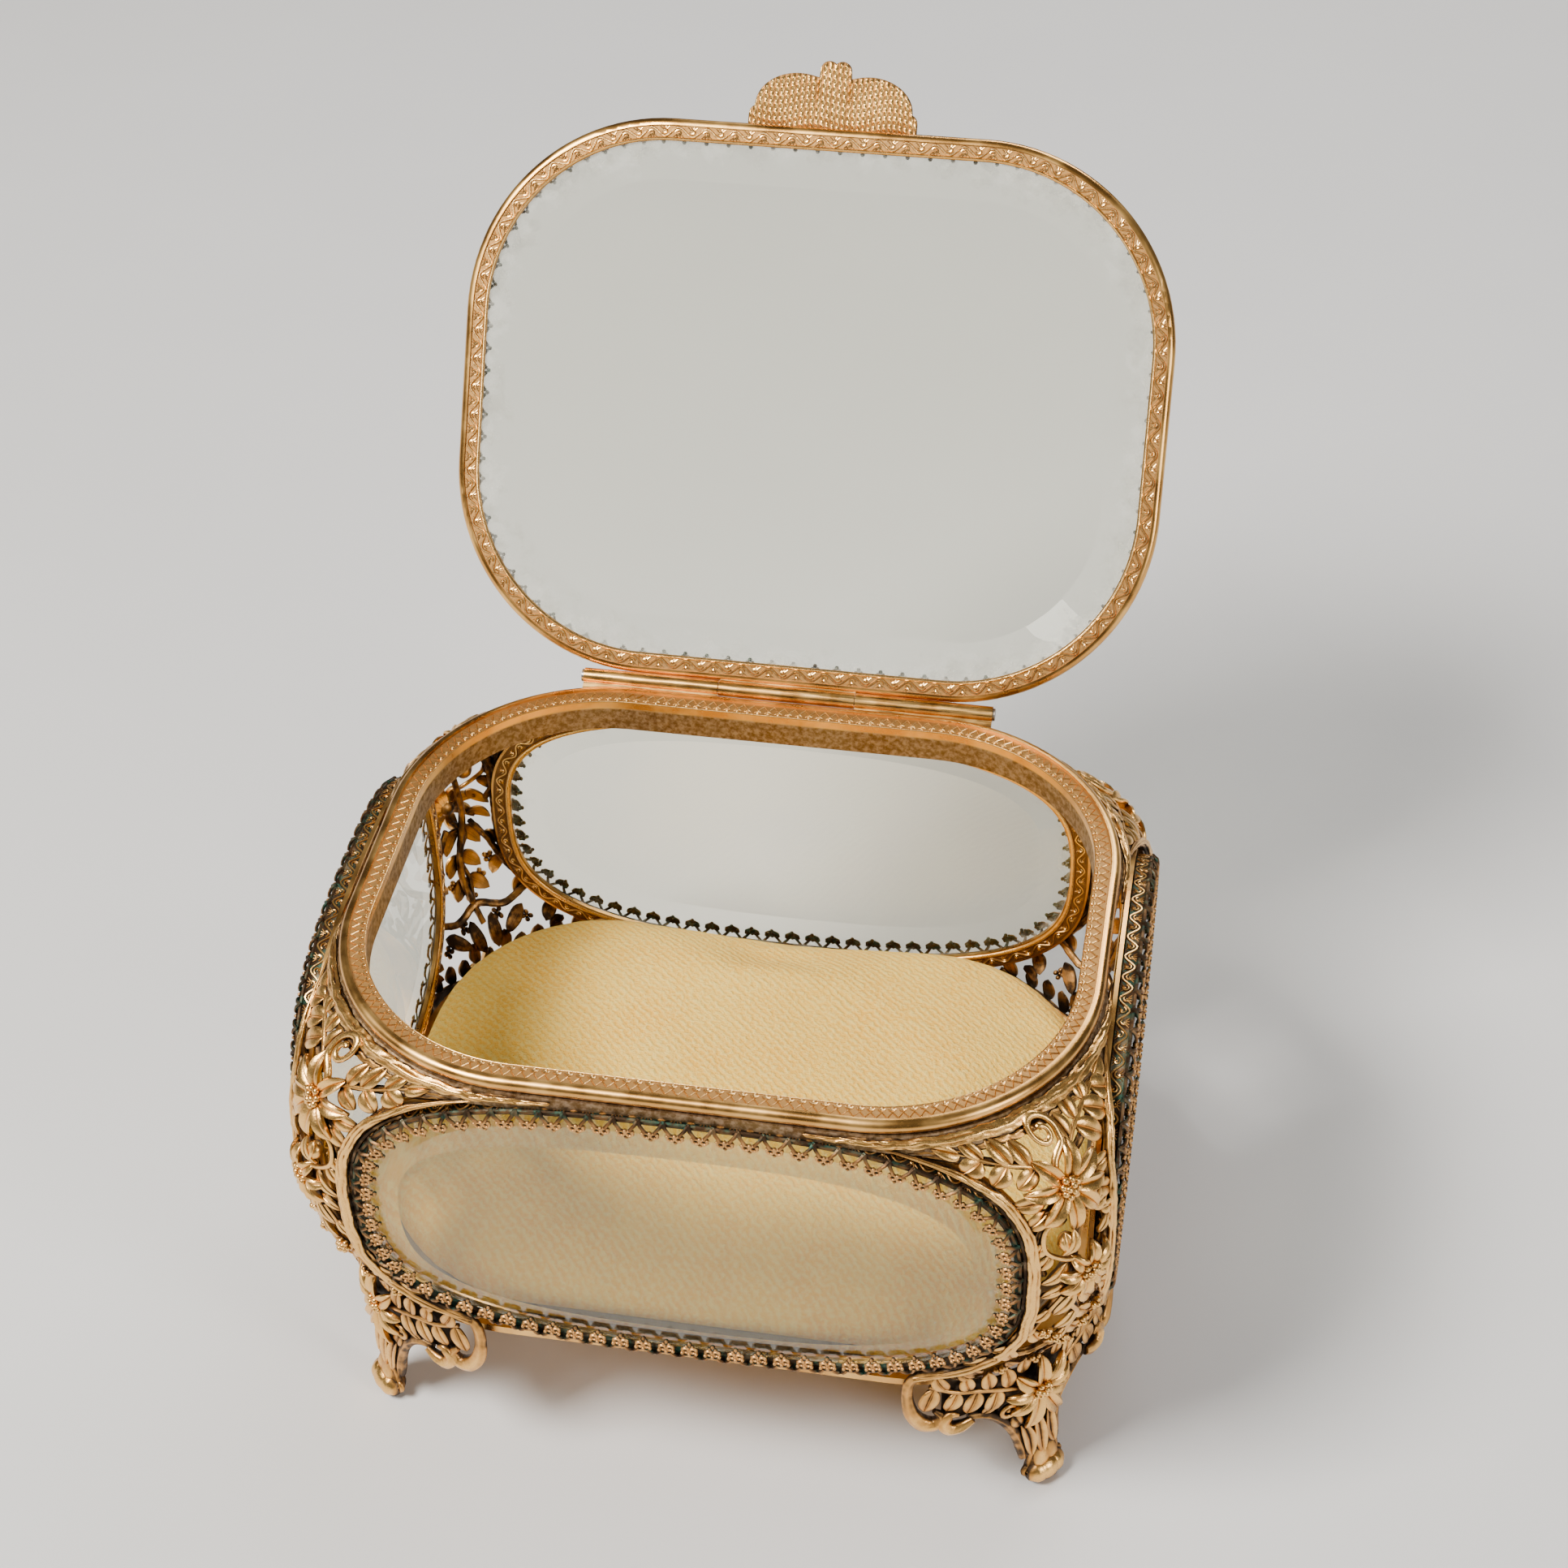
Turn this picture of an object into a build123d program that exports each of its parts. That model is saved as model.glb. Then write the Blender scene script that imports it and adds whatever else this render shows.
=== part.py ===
"""Vanity trinket box: a gilt filigree casket with bevelled glass on four sides and
in the hinged lid, a velvet cushion inside, and four scroll feet.

Millimetres, +Z up, +X to the right, -Y towards the front.  The origin is on the
surface that the box stands on, under the centre of the rim.  The lid is built open.
"""

from build123d import *
import os
from math import atan2, copysign, cos, degrees, pi, radians, sin

os.makedirs("parts", exist_ok=True)

# ---------------------------------------------------------------- driving dimensions
RIM_WIDTH = 140.0
RIM_DEPTH = 109.0
RIM_CORNER = 39.5
RIM_TOP = 107.5  # above the surface that the feet stand on
RIM_BAND = 4.9  # from the rim's outer edge to its opening
BEAD = 2.8  # height of the polished outer bead
BEAD_WIDTH = 1.7  # its width, from the rim's outside to the ledge
BEAD_ROUND = 1.35  # radius of the bead's edges
LEDGE_DROP = 0.6  # the flat ledge lies this far below the bead's top
SKIRT_DROP = 7.5  # the inner skirt hangs this far below the rim's top
SKIRT_WALL = 1.0

SHELL_WALL = 1.6
# drop below the rim's top, width, depth and corner radius of the bombe body
BODY_SECTIONS = (
    (BEAD, RIM_WIDTH, RIM_DEPTH, RIM_CORNER),
    (8.0, 146.0, 110.0, 32.0),
    (19.0, 149.5, 110.4, 21.0),
    (36.0, 150.0, 110.4, 15.0),
    (52.0, 150.0, 110.4, 20.0),
    (64.0, 149.0, 110.0, 30.0),
    (71.0, 148.0, 109.0, 36.0),
)
FASCIA_BOTTOM = RIM_TOP - 6.0  # the rim's fascia ends and the corner castings begin
PANEL_BOTTOM = RIM_TOP - 66.0  # the corner castings end and the feet begin

WINDOW_Z = RIM_TOP - 36.5  # height of every window's centre
FRONT_FACE = 56.8  # from the centre to the front and back prong tips
SIDE_FACE = 76.6  # from the centre to the left and right prong tips
FRONT_HALF_WIDTH = 60.8  # half sizes of the prong bezels
SIDE_HALF_WIDTH = 41.0
WINDOW_HALF_HEIGHT = 32.0
OVAL_ORDER = 2.9  # exponent of the windows' superellipse outline
OVAL_POINTS = 32
BEZEL_WALL = 1.3
BEZEL_LIP = 3.7  # how far the lip reaches in from the bezel's outline
LIP_THICKNESS = 0.6
WINDOW_DEPTH = 4.4  # from the prong tips to the retaining ring
RING_THICKNESS = 0.8
RING_OVERHANG = 1.6  # the retaining ring stands this far outside the bezel
RING_OPENING = 2.4  # and reaches this far inside it
GLASS_FIT = 0.1
BEVEL_WIDTH = 7.0
BEVEL_DEPTH = 1.5
CUT_DEPTH = 4 * WINDOW_DEPTH  # how far each window's cut reaches into the body

BASE_WIDTH = 145.2
BASE_DEPTH = 106.4
BASE_CORNER = 36.1
BASE_BOTTOM = RIM_TOP - 72.0
BASE_THICKNESS = 1.7
BOARD_SIZE = (137.0, 97.0, 35.0)
BOARD_THICKNESS = 1.0
CUSHION_SIZE = (139.0, 99.0, 36.0)
CUSHION_TOP = RIM_TOP - 51.5
CUSHION_ROUND = 8.0

FOOT_CENTRE = (36.5, 17.1)  # axis of the foot's quarter-round plan
FOOT_INNER = 36.3
FOOT_OUTER = 39.0
FOOT_HALF_SPAN = 27.4  # half the foot's chord, seen along the corner's diagonal
ANKLE_HALF_WIDTH = 4.0
# the arch under one wing, from its outer end to the ankle: offset across, height
FOOT_ARCH = ((27.4, 29.5), (24.0, 23.0), (18.5, 22.5), (12.5, 27.0), (6.5, 19.0), (4.0, 9.0))
TOE_WIDTH = 8.0
TOE_TOP = 12.0  # height at which the scroll toe leaves the leg
TOE_HEEL = 1.3  # the leg's inner face steps in this far at the ground
TOE_REACH = 4.0  # the scroll's furthest point beyond the leg
# the scroll's front from the ground up to the leg: beyond the leg, height
TOE_SCROLL = ((2.5, 0.0), (TOE_REACH, 3.0), (2.6, 5.4), (0.4, 8.4), (0.0, TOE_TOP))
CORNER_REACH = 60.0  # cuts along a corner's diagonal reach this far from the foot's axis

OPEN_ANGLE = 122.0
HINGE_Y = 55.9
HINGE_Z = RIM_TOP + 0.2
BARREL_RADIUS = 1.6
BORE_RADIUS = 0.85
PIN_RADIUS = 0.80
PIN_HEAD_RADIUS = 1.25
PIN_HEAD_LENGTH = 0.5
KNUCKLE_PITCH = 27.5
KNUCKLE_GAP = 0.15
LEAF_THICKNESS = 1.0

LID_GAP = 0.15  # between the closed lid and the rim
LID_RING = 3.5  # from the lid's edge to the glass seat
LID_OPENING = 4.3  # from the lid's edge to its opening
LID_LIP = 0.9
LID_BAND_RELIEF = 0.35  # the ornamented band lies this far below the lid's inner bead
LID_BAND_INSET = 1.4
LID_GLASS_THICKNESS = 3.8
LID_BEZEL_INSET = 0.5
LID_BEZEL_WALL = 1.2
LID_BEZEL_TOP = 5.4
LID_BEZEL_REACH = 5.4
LID_BEVEL_WIDTH = 8.0

TAB_HALF_WIDTH = 16.5
TAB_HEIGHT = 13.2
TAB_THICKNESS = 1.2
TAB_LOBE = 6.6
TAB_LOBE_X = 8.2
TAB_LOBE_RISE = 3.8  # centres of the lobes beyond the lid's bezel
TAB_WEB = 11.0  # height of the web that joins the lobes
TAB_EAR = 1.9
TAB_EAR_RISE = 2.4
TAB_KNOB = 2.9
TAB_ROOT = 3.0  # height of the straight root along the bezel
TAB_ROOT_MARGIN = 1.0

# ---------------------------------------------------------------- planes and helpers
FRONT = Plane(origin=(0, -FRONT_FACE, WINDOW_Z), x_dir=(1, 0, 0), z_dir=(0, -1, 0))
BACK = Plane(origin=(0, FRONT_FACE, WINDOW_Z), x_dir=(-1, 0, 0), z_dir=(0, 1, 0))
LEFT = Plane(origin=(-SIDE_FACE, 0, WINDOW_Z), x_dir=(0, -1, 0), z_dir=(-1, 0, 0))
RIGHT = Plane(origin=(SIDE_FACE, 0, WINDOW_Z), x_dir=(0, 1, 0), z_dir=(1, 0, 0))
WINDOWS = (
    ("front", FRONT, FRONT_HALF_WIDTH),
    ("back", BACK, FRONT_HALF_WIDTH),
    ("left", LEFT, SIDE_HALF_WIDTH),
    ("right", RIGHT, SIDE_HALF_WIDTH),
)
CORNERS = (
    ("front_left", -1, -1),
    ("front_right", 1, -1),
    ("back_left", -1, 1),
    ("back_right", 1, 1),
)
open_turn = radians(OPEN_ANGLE)
# The lid's own plane: its origin is on the hinge axis and its normal points out of
# the lid's outer face.  Closed, it would be parallel to XY.
LID = Plane(
    origin=(0, HINGE_Y, HINGE_Z),
    x_dir=(1, 0, 0),
    z_dir=(0, sin(open_turn), cos(open_turn)),
)
LID_SEAT = RIM_TOP + LID_GAP - HINGE_Z  # the lid's inner face along LID's normal


def save(piece, name):
    """Label a finished piece and write it as its own node."""
    piece.part.label = name
    export_step(piece.part, f"parts/{name}.step")


def superellipse_point(half_width, half_height, turn):
    """A point of the windows' outline."""
    x = copysign(abs(cos(turn)) ** (2 / OVAL_ORDER), cos(turn))
    y = copysign(abs(sin(turn)) ** (2 / OVAL_ORDER), sin(turn))
    return (half_width * x, half_height * y)


def oval(half_width, inset=0.0, mode=Mode.ADD):
    """The windows' outline as a face, drawn in from the bezel's edge by inset."""
    width = half_width - inset
    height = WINDOW_HALF_HEIGHT - inset
    turns = [2 * pi * (i + 0.5) / OVAL_POINTS for i in range(OVAL_POINTS)]
    with BuildLine() as outline:
        Spline(*[superellipse_point(width, height, turn) for turn in turns], periodic=True)
    make_face(outline.edges(), mode=mode)


def rim_outline(inset=0.0, mode=Mode.ADD):
    """The outline that the rim and the lid share, drawn in by inset."""
    RectangleRounded(RIM_WIDTH - 2 * inset, RIM_DEPTH - 2 * inset, RIM_CORNER - inset, mode=mode)


def body_solid(inset):
    """The body's bombe form as one solid, drawn in by inset."""
    with BuildPart() as solid:
        for drop, width, depth, corner in BODY_SECTIONS:
            with BuildSketch(Plane.XY.offset(RIM_TOP - drop)):
                RectangleRounded(width - 2 * inset, depth - 2 * inset, corner - inset)
        loft()
    return solid.part


with BuildPart() as window_prism:
    for _, plane, half_width in WINDOWS:
        with BuildSketch(plane):
            oval(half_width)
        extrude(amount=-CUT_DEPTH)
        with BuildSketch(plane.offset(-WINDOW_DEPTH)):
            oval(half_width, -RING_OVERHANG - GLASS_FIT)
        extrude(amount=WINDOW_DEPTH - CUT_DEPTH)

body_outer = body_solid(0)
body_inner = body_solid(SHELL_WALL)

with BuildPart() as shell:
    add(body_outer)
    add(body_inner, mode=Mode.SUBTRACT)
    add(window_prism.part, mode=Mode.SUBTRACT)

with BuildPart() as fascia:
    add(shell.part)
    with Locations((0, 0, FASCIA_BOTTOM)):
        Box(
            2 * SIDE_FACE,
            2 * FRONT_FACE,
            RIM_TOP - BEAD - FASCIA_BOTTOM,
            align=(Align.CENTER, Align.CENTER, Align.MIN),
            mode=Mode.INTERSECT,
        )

# ---------------------------------------------------------------- rim of the body
with BuildPart() as body_rim:
    with BuildSketch(Plane.XY.offset(RIM_TOP - BEAD)):
        rim_outline()
    extrude(amount=BEAD)
    fillet(body_rim.edges().filter_by(Plane.XY), radius=BEAD_ROUND)
    with BuildSketch(Plane.XY.offset(RIM_TOP)):
        rim_outline(BEAD_WIDTH)
    extrude(amount=-LEDGE_DROP, mode=Mode.SUBTRACT)
    with BuildSketch(Plane.XY.offset(RIM_TOP - SKIRT_DROP)):
        rim_outline(RIM_BAND - SKIRT_WALL)
    extrude(amount=SKIRT_DROP - BEAD)
    with BuildSketch(Plane.XY.offset(RIM_TOP)):
        rim_outline(RIM_BAND)
    extrude(amount=-SKIRT_DROP, mode=Mode.SUBTRACT)
    # the fascia under the bead: the top of the body's shell, as far as the castings
    add(fascia.part)
save(body_rim, "body_rim")

# ---------------------------------------------------------------- windows
for name, plane, half_width in WINDOWS:
    with BuildPart() as window_frame:
        with BuildSketch(plane.offset(-WINDOW_DEPTH)):
            oval(half_width, -RING_OVERHANG)
            oval(half_width, RING_OPENING, mode=Mode.SUBTRACT)
        extrude(amount=-RING_THICKNESS)
    save(window_frame, f"{name}_window_frame")

    with BuildPart() as window_glass:
        with BuildSketch(plane.offset(-WINDOW_DEPTH + GLASS_FIT / 2)):
            oval(half_width, BEZEL_WALL + GLASS_FIT)
        extrude(amount=WINDOW_DEPTH - LIP_THICKNESS - BEVEL_DEPTH - GLASS_FIT)
        with BuildSketch(plane.offset(-LIP_THICKNESS - BEVEL_DEPTH - GLASS_FIT / 2)):
            oval(half_width, BEZEL_WALL + GLASS_FIT)
        with BuildSketch(plane.offset(-LIP_THICKNESS - GLASS_FIT / 2)):
            oval(half_width, BEZEL_WALL + GLASS_FIT + BEVEL_WIDTH)
        loft()
    save(window_glass, f"{name}_glass")

    with BuildPart() as prong_bezel:
        with BuildSketch(plane.offset(-WINDOW_DEPTH)):
            oval(half_width)
            oval(half_width, BEZEL_WALL, mode=Mode.SUBTRACT)
        extrude(amount=WINDOW_DEPTH)
        with BuildSketch(plane.offset(-LIP_THICKNESS)):
            oval(half_width)
            oval(half_width, BEZEL_LIP, mode=Mode.SUBTRACT)
        extrude(amount=LIP_THICKNESS)
    save(prong_bezel, f"{name}_prong_bezel")

# ---------------------------------------------------------------- corner castings
# piercings seen along each corner's diagonal: offset across, drop below the rim, radii
PIERCINGS = (
    (0.0, 15.0, 3.4, 2.6),
    (-7.5, 21.0, 2.4, 3.4),
    (7.5, 21.0, 2.4, 3.4),
    (0.0, 26.0, 2.4, 4.0),
    (-6.5, 33.0, 2.2, 3.6),
    (6.5, 33.0, 2.2, 3.6),
    (0.0, 39.0, 2.2, 4.2),
    (-6.5, 45.0, 2.2, 3.6),
    (6.5, 45.0, 2.2, 3.6),
    (0.0, 52.0, 2.4, 4.0),
    (-8.5, 56.0, 2.4, 3.0),
    (8.5, 56.0, 2.4, 3.0),
)


def corner_plane(side, end):
    """An upright plane through the foot's axis that faces out of one corner."""
    centre = (side * FOOT_CENTRE[0], end * FOOT_CENTRE[1], 0)
    return Plane(origin=centre, x_dir=(-end, side, 0), z_dir=(side, end, 0))


for name, side, end in CORNERS:
    facing = corner_plane(side, end)
    with BuildPart() as corner_panel:
        add(shell.part)
        with Locations((side * RIM_WIDTH / 2, end * RIM_DEPTH / 2, PANEL_BOTTOM)):
            Box(
                RIM_WIDTH,
                RIM_DEPTH,
                FASCIA_BOTTOM - PANEL_BOTTOM,
                align=(Align.CENTER, Align.CENTER, Align.MIN),
                mode=Mode.INTERSECT,
            )
        with BuildSketch(facing):
            for across, drop, width, tall in PIERCINGS:
                with Locations((across, RIM_TOP - drop)):
                    Ellipse(width, tall)
        extrude(amount=CORNER_REACH, mode=Mode.SUBTRACT)
    save(corner_panel, f"corner_panel_{name}")

# ---------------------------------------------------------------- feet
for name, side, end in CORNERS:
    facing = corner_plane(side, end)
    with BuildPart() as foot:
        with BuildSketch(Plane.XY):
            with Locations((side * FOOT_CENTRE[0], end * FOOT_CENTRE[1])):
                Circle(FOOT_OUTER)
                Circle(FOOT_INNER, mode=Mode.SUBTRACT)
        extrude(amount=PANEL_BOTTOM)
        # the arched elevation of the leg and its two wings, seen along the diagonal
        with BuildSketch(facing):
            with BuildLine():
                Polyline((0, PANEL_BOTTOM), (FOOT_HALF_SPAN, PANEL_BOTTOM), FOOT_ARCH[0])
                Spline(*FOOT_ARCH)
                Polyline(FOOT_ARCH[-1], (ANKLE_HALF_WIDTH, 0), (0, 0))
                mirror(about=Plane.YZ)
            make_face()
        extrude(amount=CORNER_REACH, mode=Mode.INTERSECT)
        # the scroll toe, in profile
        toe_side = Plane(facing.origin, x_dir=facing.z_dir, z_dir=facing.x_dir * -1)
        with BuildSketch(toe_side):
            with BuildLine():
                scroll = [(FOOT_OUTER + beyond, height) for beyond, height in TOE_SCROLL]
                Polyline((FOOT_INNER, TOE_TOP), (FOOT_INNER - TOE_HEEL, 0), scroll[0])
                Spline(*scroll)
                Line(scroll[-1], (FOOT_INNER, TOE_TOP))
            make_face()
        extrude(amount=TOE_WIDTH / 2, both=True)
        add(window_prism.part, mode=Mode.SUBTRACT)
    save(foot, f"foot_{name}")

# ---------------------------------------------------------------- floor and cushion
with BuildPart() as base_plate:
    with BuildSketch(Plane.XY.offset(BASE_BOTTOM)):
        RectangleRounded(BASE_WIDTH, BASE_DEPTH, BASE_CORNER)
    extrude(amount=BASE_THICKNESS)
save(base_plate, "base_plate")

with BuildPart() as cushion_board:
    with BuildSketch(Plane.XY.offset(BASE_BOTTOM + BASE_THICKNESS)):
        RectangleRounded(*BOARD_SIZE)
    extrude(amount=BOARD_THICKNESS)
save(cushion_board, "cushion_board")

with BuildPart() as cushion:
    cushion_bottom = BASE_BOTTOM + BASE_THICKNESS + BOARD_THICKNESS
    with BuildSketch(Plane.XY.offset(cushion_bottom)):
        RectangleRounded(*CUSHION_SIZE)
    extrude(amount=CUSHION_TOP - cushion_bottom)
    fillet(cushion.faces().sort_by(Axis.Z)[-1].edges(), radius=CUSHION_ROUND)
save(cushion, "cushion")

# ---------------------------------------------------------------- hinge
BARREL = Plane(origin=(0, HINGE_Y, HINGE_Z), x_dir=(0, 1, 0), z_dir=(1, 0, 0))


def knuckle(middle, leaf_y, leaf_z, neighbour):
    """One barrel of the hinge with a leaf that joins it to the neighbouring bead."""
    length = KNUCKLE_PITCH - KNUCKLE_GAP
    leaf_turn = degrees(atan2(leaf_z - HINGE_Z, leaf_y - HINGE_Y))
    with BuildPart() as barrel:
        with BuildSketch(BARREL.offset(middle)):
            Circle(BARREL_RADIUS)
            with Locations(Location((0, 0, 0), (0, 0, leaf_turn))):
                Rectangle(
                    BARREL_RADIUS + BEAD / 2,
                    LEAF_THICKNESS,
                    align=(Align.MIN, Align.CENTER),
                )
        extrude(amount=length / 2, both=True)
        add(neighbour, mode=Mode.SUBTRACT)
        with BuildSketch(BARREL.offset(middle)):
            Circle(BORE_RADIUS)
        extrude(amount=length / 2, both=True, mode=Mode.SUBTRACT)
    return barrel


# ---------------------------------------------------------------- lid
with BuildPart() as lid_frame:
    with BuildSketch(LID.offset(LID_SEAT)):
        with Locations((0, -HINGE_Y)):
            rim_outline()
    extrude(amount=BEAD)
    fillet(lid_frame.edges().filter_by(LID), radius=BEAD_ROUND)
    with BuildSketch(LID.offset(LID_SEAT)):
        with Locations((0, -HINGE_Y)):
            rim_outline(LID_BAND_INSET)
    extrude(amount=LID_BAND_RELIEF, mode=Mode.SUBTRACT)
    with BuildSketch(LID.offset(LID_SEAT + LID_LIP)):
        with Locations((0, -HINGE_Y)):
            rim_outline(LID_RING)
    extrude(amount=BEAD, mode=Mode.SUBTRACT)
    with BuildSketch(LID.offset(LID_SEAT)):
        with Locations((0, -HINGE_Y)):
            rim_outline(LID_OPENING)
    extrude(amount=BEAD, mode=Mode.SUBTRACT)
save(lid_frame, "lid_frame")

with BuildPart() as lid_glass:
    with BuildSketch(LID.offset(LID_SEAT + LID_LIP)):
        with Locations((0, -HINGE_Y)):
            rim_outline(LID_RING + GLASS_FIT)
    extrude(amount=LID_GLASS_THICKNESS)
    chamfer(
        lid_glass.faces().sort_by(Axis(LID.origin, LID.z_dir))[-1].edges(),
        length=BEVEL_DEPTH,
        length2=LID_BEVEL_WIDTH,
    )
save(lid_glass, "lid_glass")

with BuildPart() as lid_prong_bezel:
    with BuildSketch(LID.offset(LID_SEAT + BEAD)):
        with Locations((0, -HINGE_Y)):
            rim_outline(LID_BEZEL_INSET)
            rim_outline(LID_BEZEL_INSET + LID_BEZEL_WALL, mode=Mode.SUBTRACT)
    extrude(amount=LID_BEZEL_TOP - BEAD)
    with BuildSketch(LID.offset(LID_SEAT + LID_LIP + LID_GLASS_THICKNESS + GLASS_FIT)):
        with Locations((0, -HINGE_Y)):
            rim_outline(LID_BEZEL_INSET)
            rim_outline(LID_BEZEL_REACH, mode=Mode.SUBTRACT)
    extrude(amount=LIP_THICKNESS)
save(lid_prong_bezel, "lid_prong_bezel")

with BuildPart() as thumb_tab:
    with BuildSketch(LID.offset(LID_SEAT + BEAD)):
        with Locations((0, -HINGE_Y - RIM_DEPTH / 2 + LID_BEZEL_INSET)):
            root_width = 2 * (TAB_HALF_WIDTH - TAB_ROOT_MARGIN)
            Rectangle(root_width, TAB_ROOT, align=(Align.CENTER, Align.MAX))
            with Locations((0, -TAB_LOBE_RISE)):
                with GridLocations(2 * TAB_LOBE_X, 0, 2, 1):
                    Circle(TAB_LOBE)
                Rectangle(2 * TAB_LOBE_X, TAB_WEB)
            with Locations((0, -TAB_EAR_RISE)):
                with GridLocations(2 * (TAB_HALF_WIDTH - TAB_EAR), 0, 2, 1):
                    Circle(TAB_EAR)
            with Locations((0, TAB_KNOB - TAB_HEIGHT - LID_BEZEL_INSET)):
                Circle(TAB_KNOB)
            Rectangle(
                2 * TAB_HALF_WIDTH,
                2 * TAB_LOBE,
                align=(Align.CENTER, Align.MIN),
                mode=Mode.SUBTRACT,
            )
    extrude(amount=TAB_THICKNESS)
save(thumb_tab, "thumb_tab")

# ---------------------------------------------------------------- hinge pieces
rim_bead = (RIM_DEPTH / 2 - BEAD / 2, RIM_TOP - BEAD / 2)
lid_bead = LID.from_local_coords((0, -BEAD / 2 - HINGE_Y + RIM_DEPTH / 2, LID_SEAT + BEAD / 2))

hinge_knuckle_left = knuckle(-KNUCKLE_PITCH, *rim_bead, body_rim.part)
save(hinge_knuckle_left, "hinge_knuckle_left")

hinge_knuckle_right = knuckle(KNUCKLE_PITCH, *rim_bead, body_rim.part)
save(hinge_knuckle_right, "hinge_knuckle_right")

hinge_knuckle_centre = knuckle(0, lid_bead.Y, lid_bead.Z, lid_frame.part)
save(hinge_knuckle_centre, "hinge_knuckle_centre")

with BuildPart() as hinge_pin:
    half_length = 1.5 * KNUCKLE_PITCH - KNUCKLE_GAP / 2
    with BuildSketch(BARREL.offset(-half_length)):
        Circle(PIN_RADIUS)
    extrude(amount=2 * half_length)
    for turn in (-1, 1):
        with BuildSketch(BARREL.offset(turn * half_length)):
            Circle(PIN_HEAD_RADIUS)
        extrude(amount=turn * PIN_HEAD_LENGTH)
save(hinge_pin, "hinge_pin")
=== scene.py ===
"""Looks of the vanity trinket box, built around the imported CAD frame.

Lengths in this script are millimetres in the frame's own axes (+Z up, -Y front) until
a mesh is written, when they are scaled to metres.  Cast ornament is drawn flat, in
(u, v, h): u along a surface, v across it and h above it.  A place function then bends
the drawing onto the body, a window's outline or the rim.
"""

from math import cos, pi, radians, sin, tau

import bmesh
import bpy
import numpy as np
from mathutils import Matrix, Vector, noise


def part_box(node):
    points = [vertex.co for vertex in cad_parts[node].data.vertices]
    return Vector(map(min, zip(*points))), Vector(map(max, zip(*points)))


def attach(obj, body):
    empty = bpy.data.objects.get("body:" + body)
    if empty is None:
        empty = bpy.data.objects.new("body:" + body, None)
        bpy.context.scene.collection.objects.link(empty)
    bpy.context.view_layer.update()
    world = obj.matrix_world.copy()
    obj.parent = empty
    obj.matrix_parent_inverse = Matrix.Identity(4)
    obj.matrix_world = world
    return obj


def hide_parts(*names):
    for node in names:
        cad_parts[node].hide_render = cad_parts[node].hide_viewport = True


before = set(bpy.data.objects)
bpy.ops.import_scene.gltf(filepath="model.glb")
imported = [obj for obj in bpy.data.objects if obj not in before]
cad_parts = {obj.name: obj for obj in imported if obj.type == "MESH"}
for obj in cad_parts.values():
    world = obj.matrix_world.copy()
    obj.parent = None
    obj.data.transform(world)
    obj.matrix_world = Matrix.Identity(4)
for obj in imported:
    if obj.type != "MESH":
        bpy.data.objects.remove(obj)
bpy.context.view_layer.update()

# ---------------------------------------------------------------- dimensions
MM = 0.001
RIM_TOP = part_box("body_rim")[1].z / MM
RIM_WIDTH, RIM_DEPTH, RIM_CORNER = 140.0, 109.0, 39.5
BEAD = 2.8  # height of the polished bead round the rim
LEDGE_TOP = RIM_TOP - 0.6
ZIGZAG_PITCH = 2.05  # of the line chased on the rim's ledge
# drop below the rim's top, width, depth and corner radius of the bombe body
BODY_SECTIONS = np.array((
    (2.8, 140.0, 109.0, 39.5),
    (8.0, 146.0, 110.0, 32.0),
    (19.0, 149.5, 110.4, 21.0),
    (36.0, 150.0, 110.4, 15.0),
    (52.0, 150.0, 110.4, 20.0),
    (64.0, 149.0, 110.0, 30.0),
    (71.0, 148.0, 109.0, 36.0),
))
PANEL_BOTTOM = RIM_TOP - 66.0
FOOT_CENTRE = (36.5, 17.1)
FOOT_RADIUS = 38.4

WINDOW_Z = RIM_TOP - 36.5
WINDOW_HALF_HEIGHT = 32.0
OVAL_ORDER = 2.9
FRONT_FACE, SIDE_FACE = 56.8, 76.6
FRONT_HALF_WIDTH, SIDE_HALF_WIDTH = 60.8, 41.0
HALF_WIDTHS = {"front": FRONT_HALF_WIDTH, "back": FRONT_HALF_WIDTH,
               "left": SIDE_HALF_WIDTH, "right": SIDE_HALF_WIDTH}
COLLAR_DEPTH = 4.4
RING_INNER_FACE = 5.2

HINGE_Y = 55.9
HINGE_Z = RIM_TOP + 0.2
OPEN_ANGLE = 122.0
LID_SEAT = -0.05
LID_BEZEL_TOP = 5.35
LID_GLASS_INSET, LID_GLASS_ORDER = 3.6, 3.3  # where the dust at the glass's edge begins

PRONG_PITCH = 4.4
OUTLINE_POINTS = 720
SHARP_CREASE = 52.0  # a crease steeper than this many degrees isn't shaded smooth
LEAF_FULLNESS = 1.24
ROLL_RADIUS, ROLL_REACH, ROLL_LOBES = 2.9, 4.1, 3  # the roll at the end of a toe
RIDGE_WEAR_AND_SHADE = 2.4  # how much brighter a rod's ridges are than the hollows between them: rubbed wear, painted highlight on the ridges and painted shade in the hollows
CREASE_WEAR_AND_SHADE = 1.6  # the same for the folds of leaves and petals: painted highlight on the fold ridges and painted shade in their hollows, with wear

CORNERS = (
    ("front_left", -1, -1),
    ("front_right", 1, -1),
    ("back_left", -1, 1),
    ("back_right", 1, 1),
)


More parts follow.
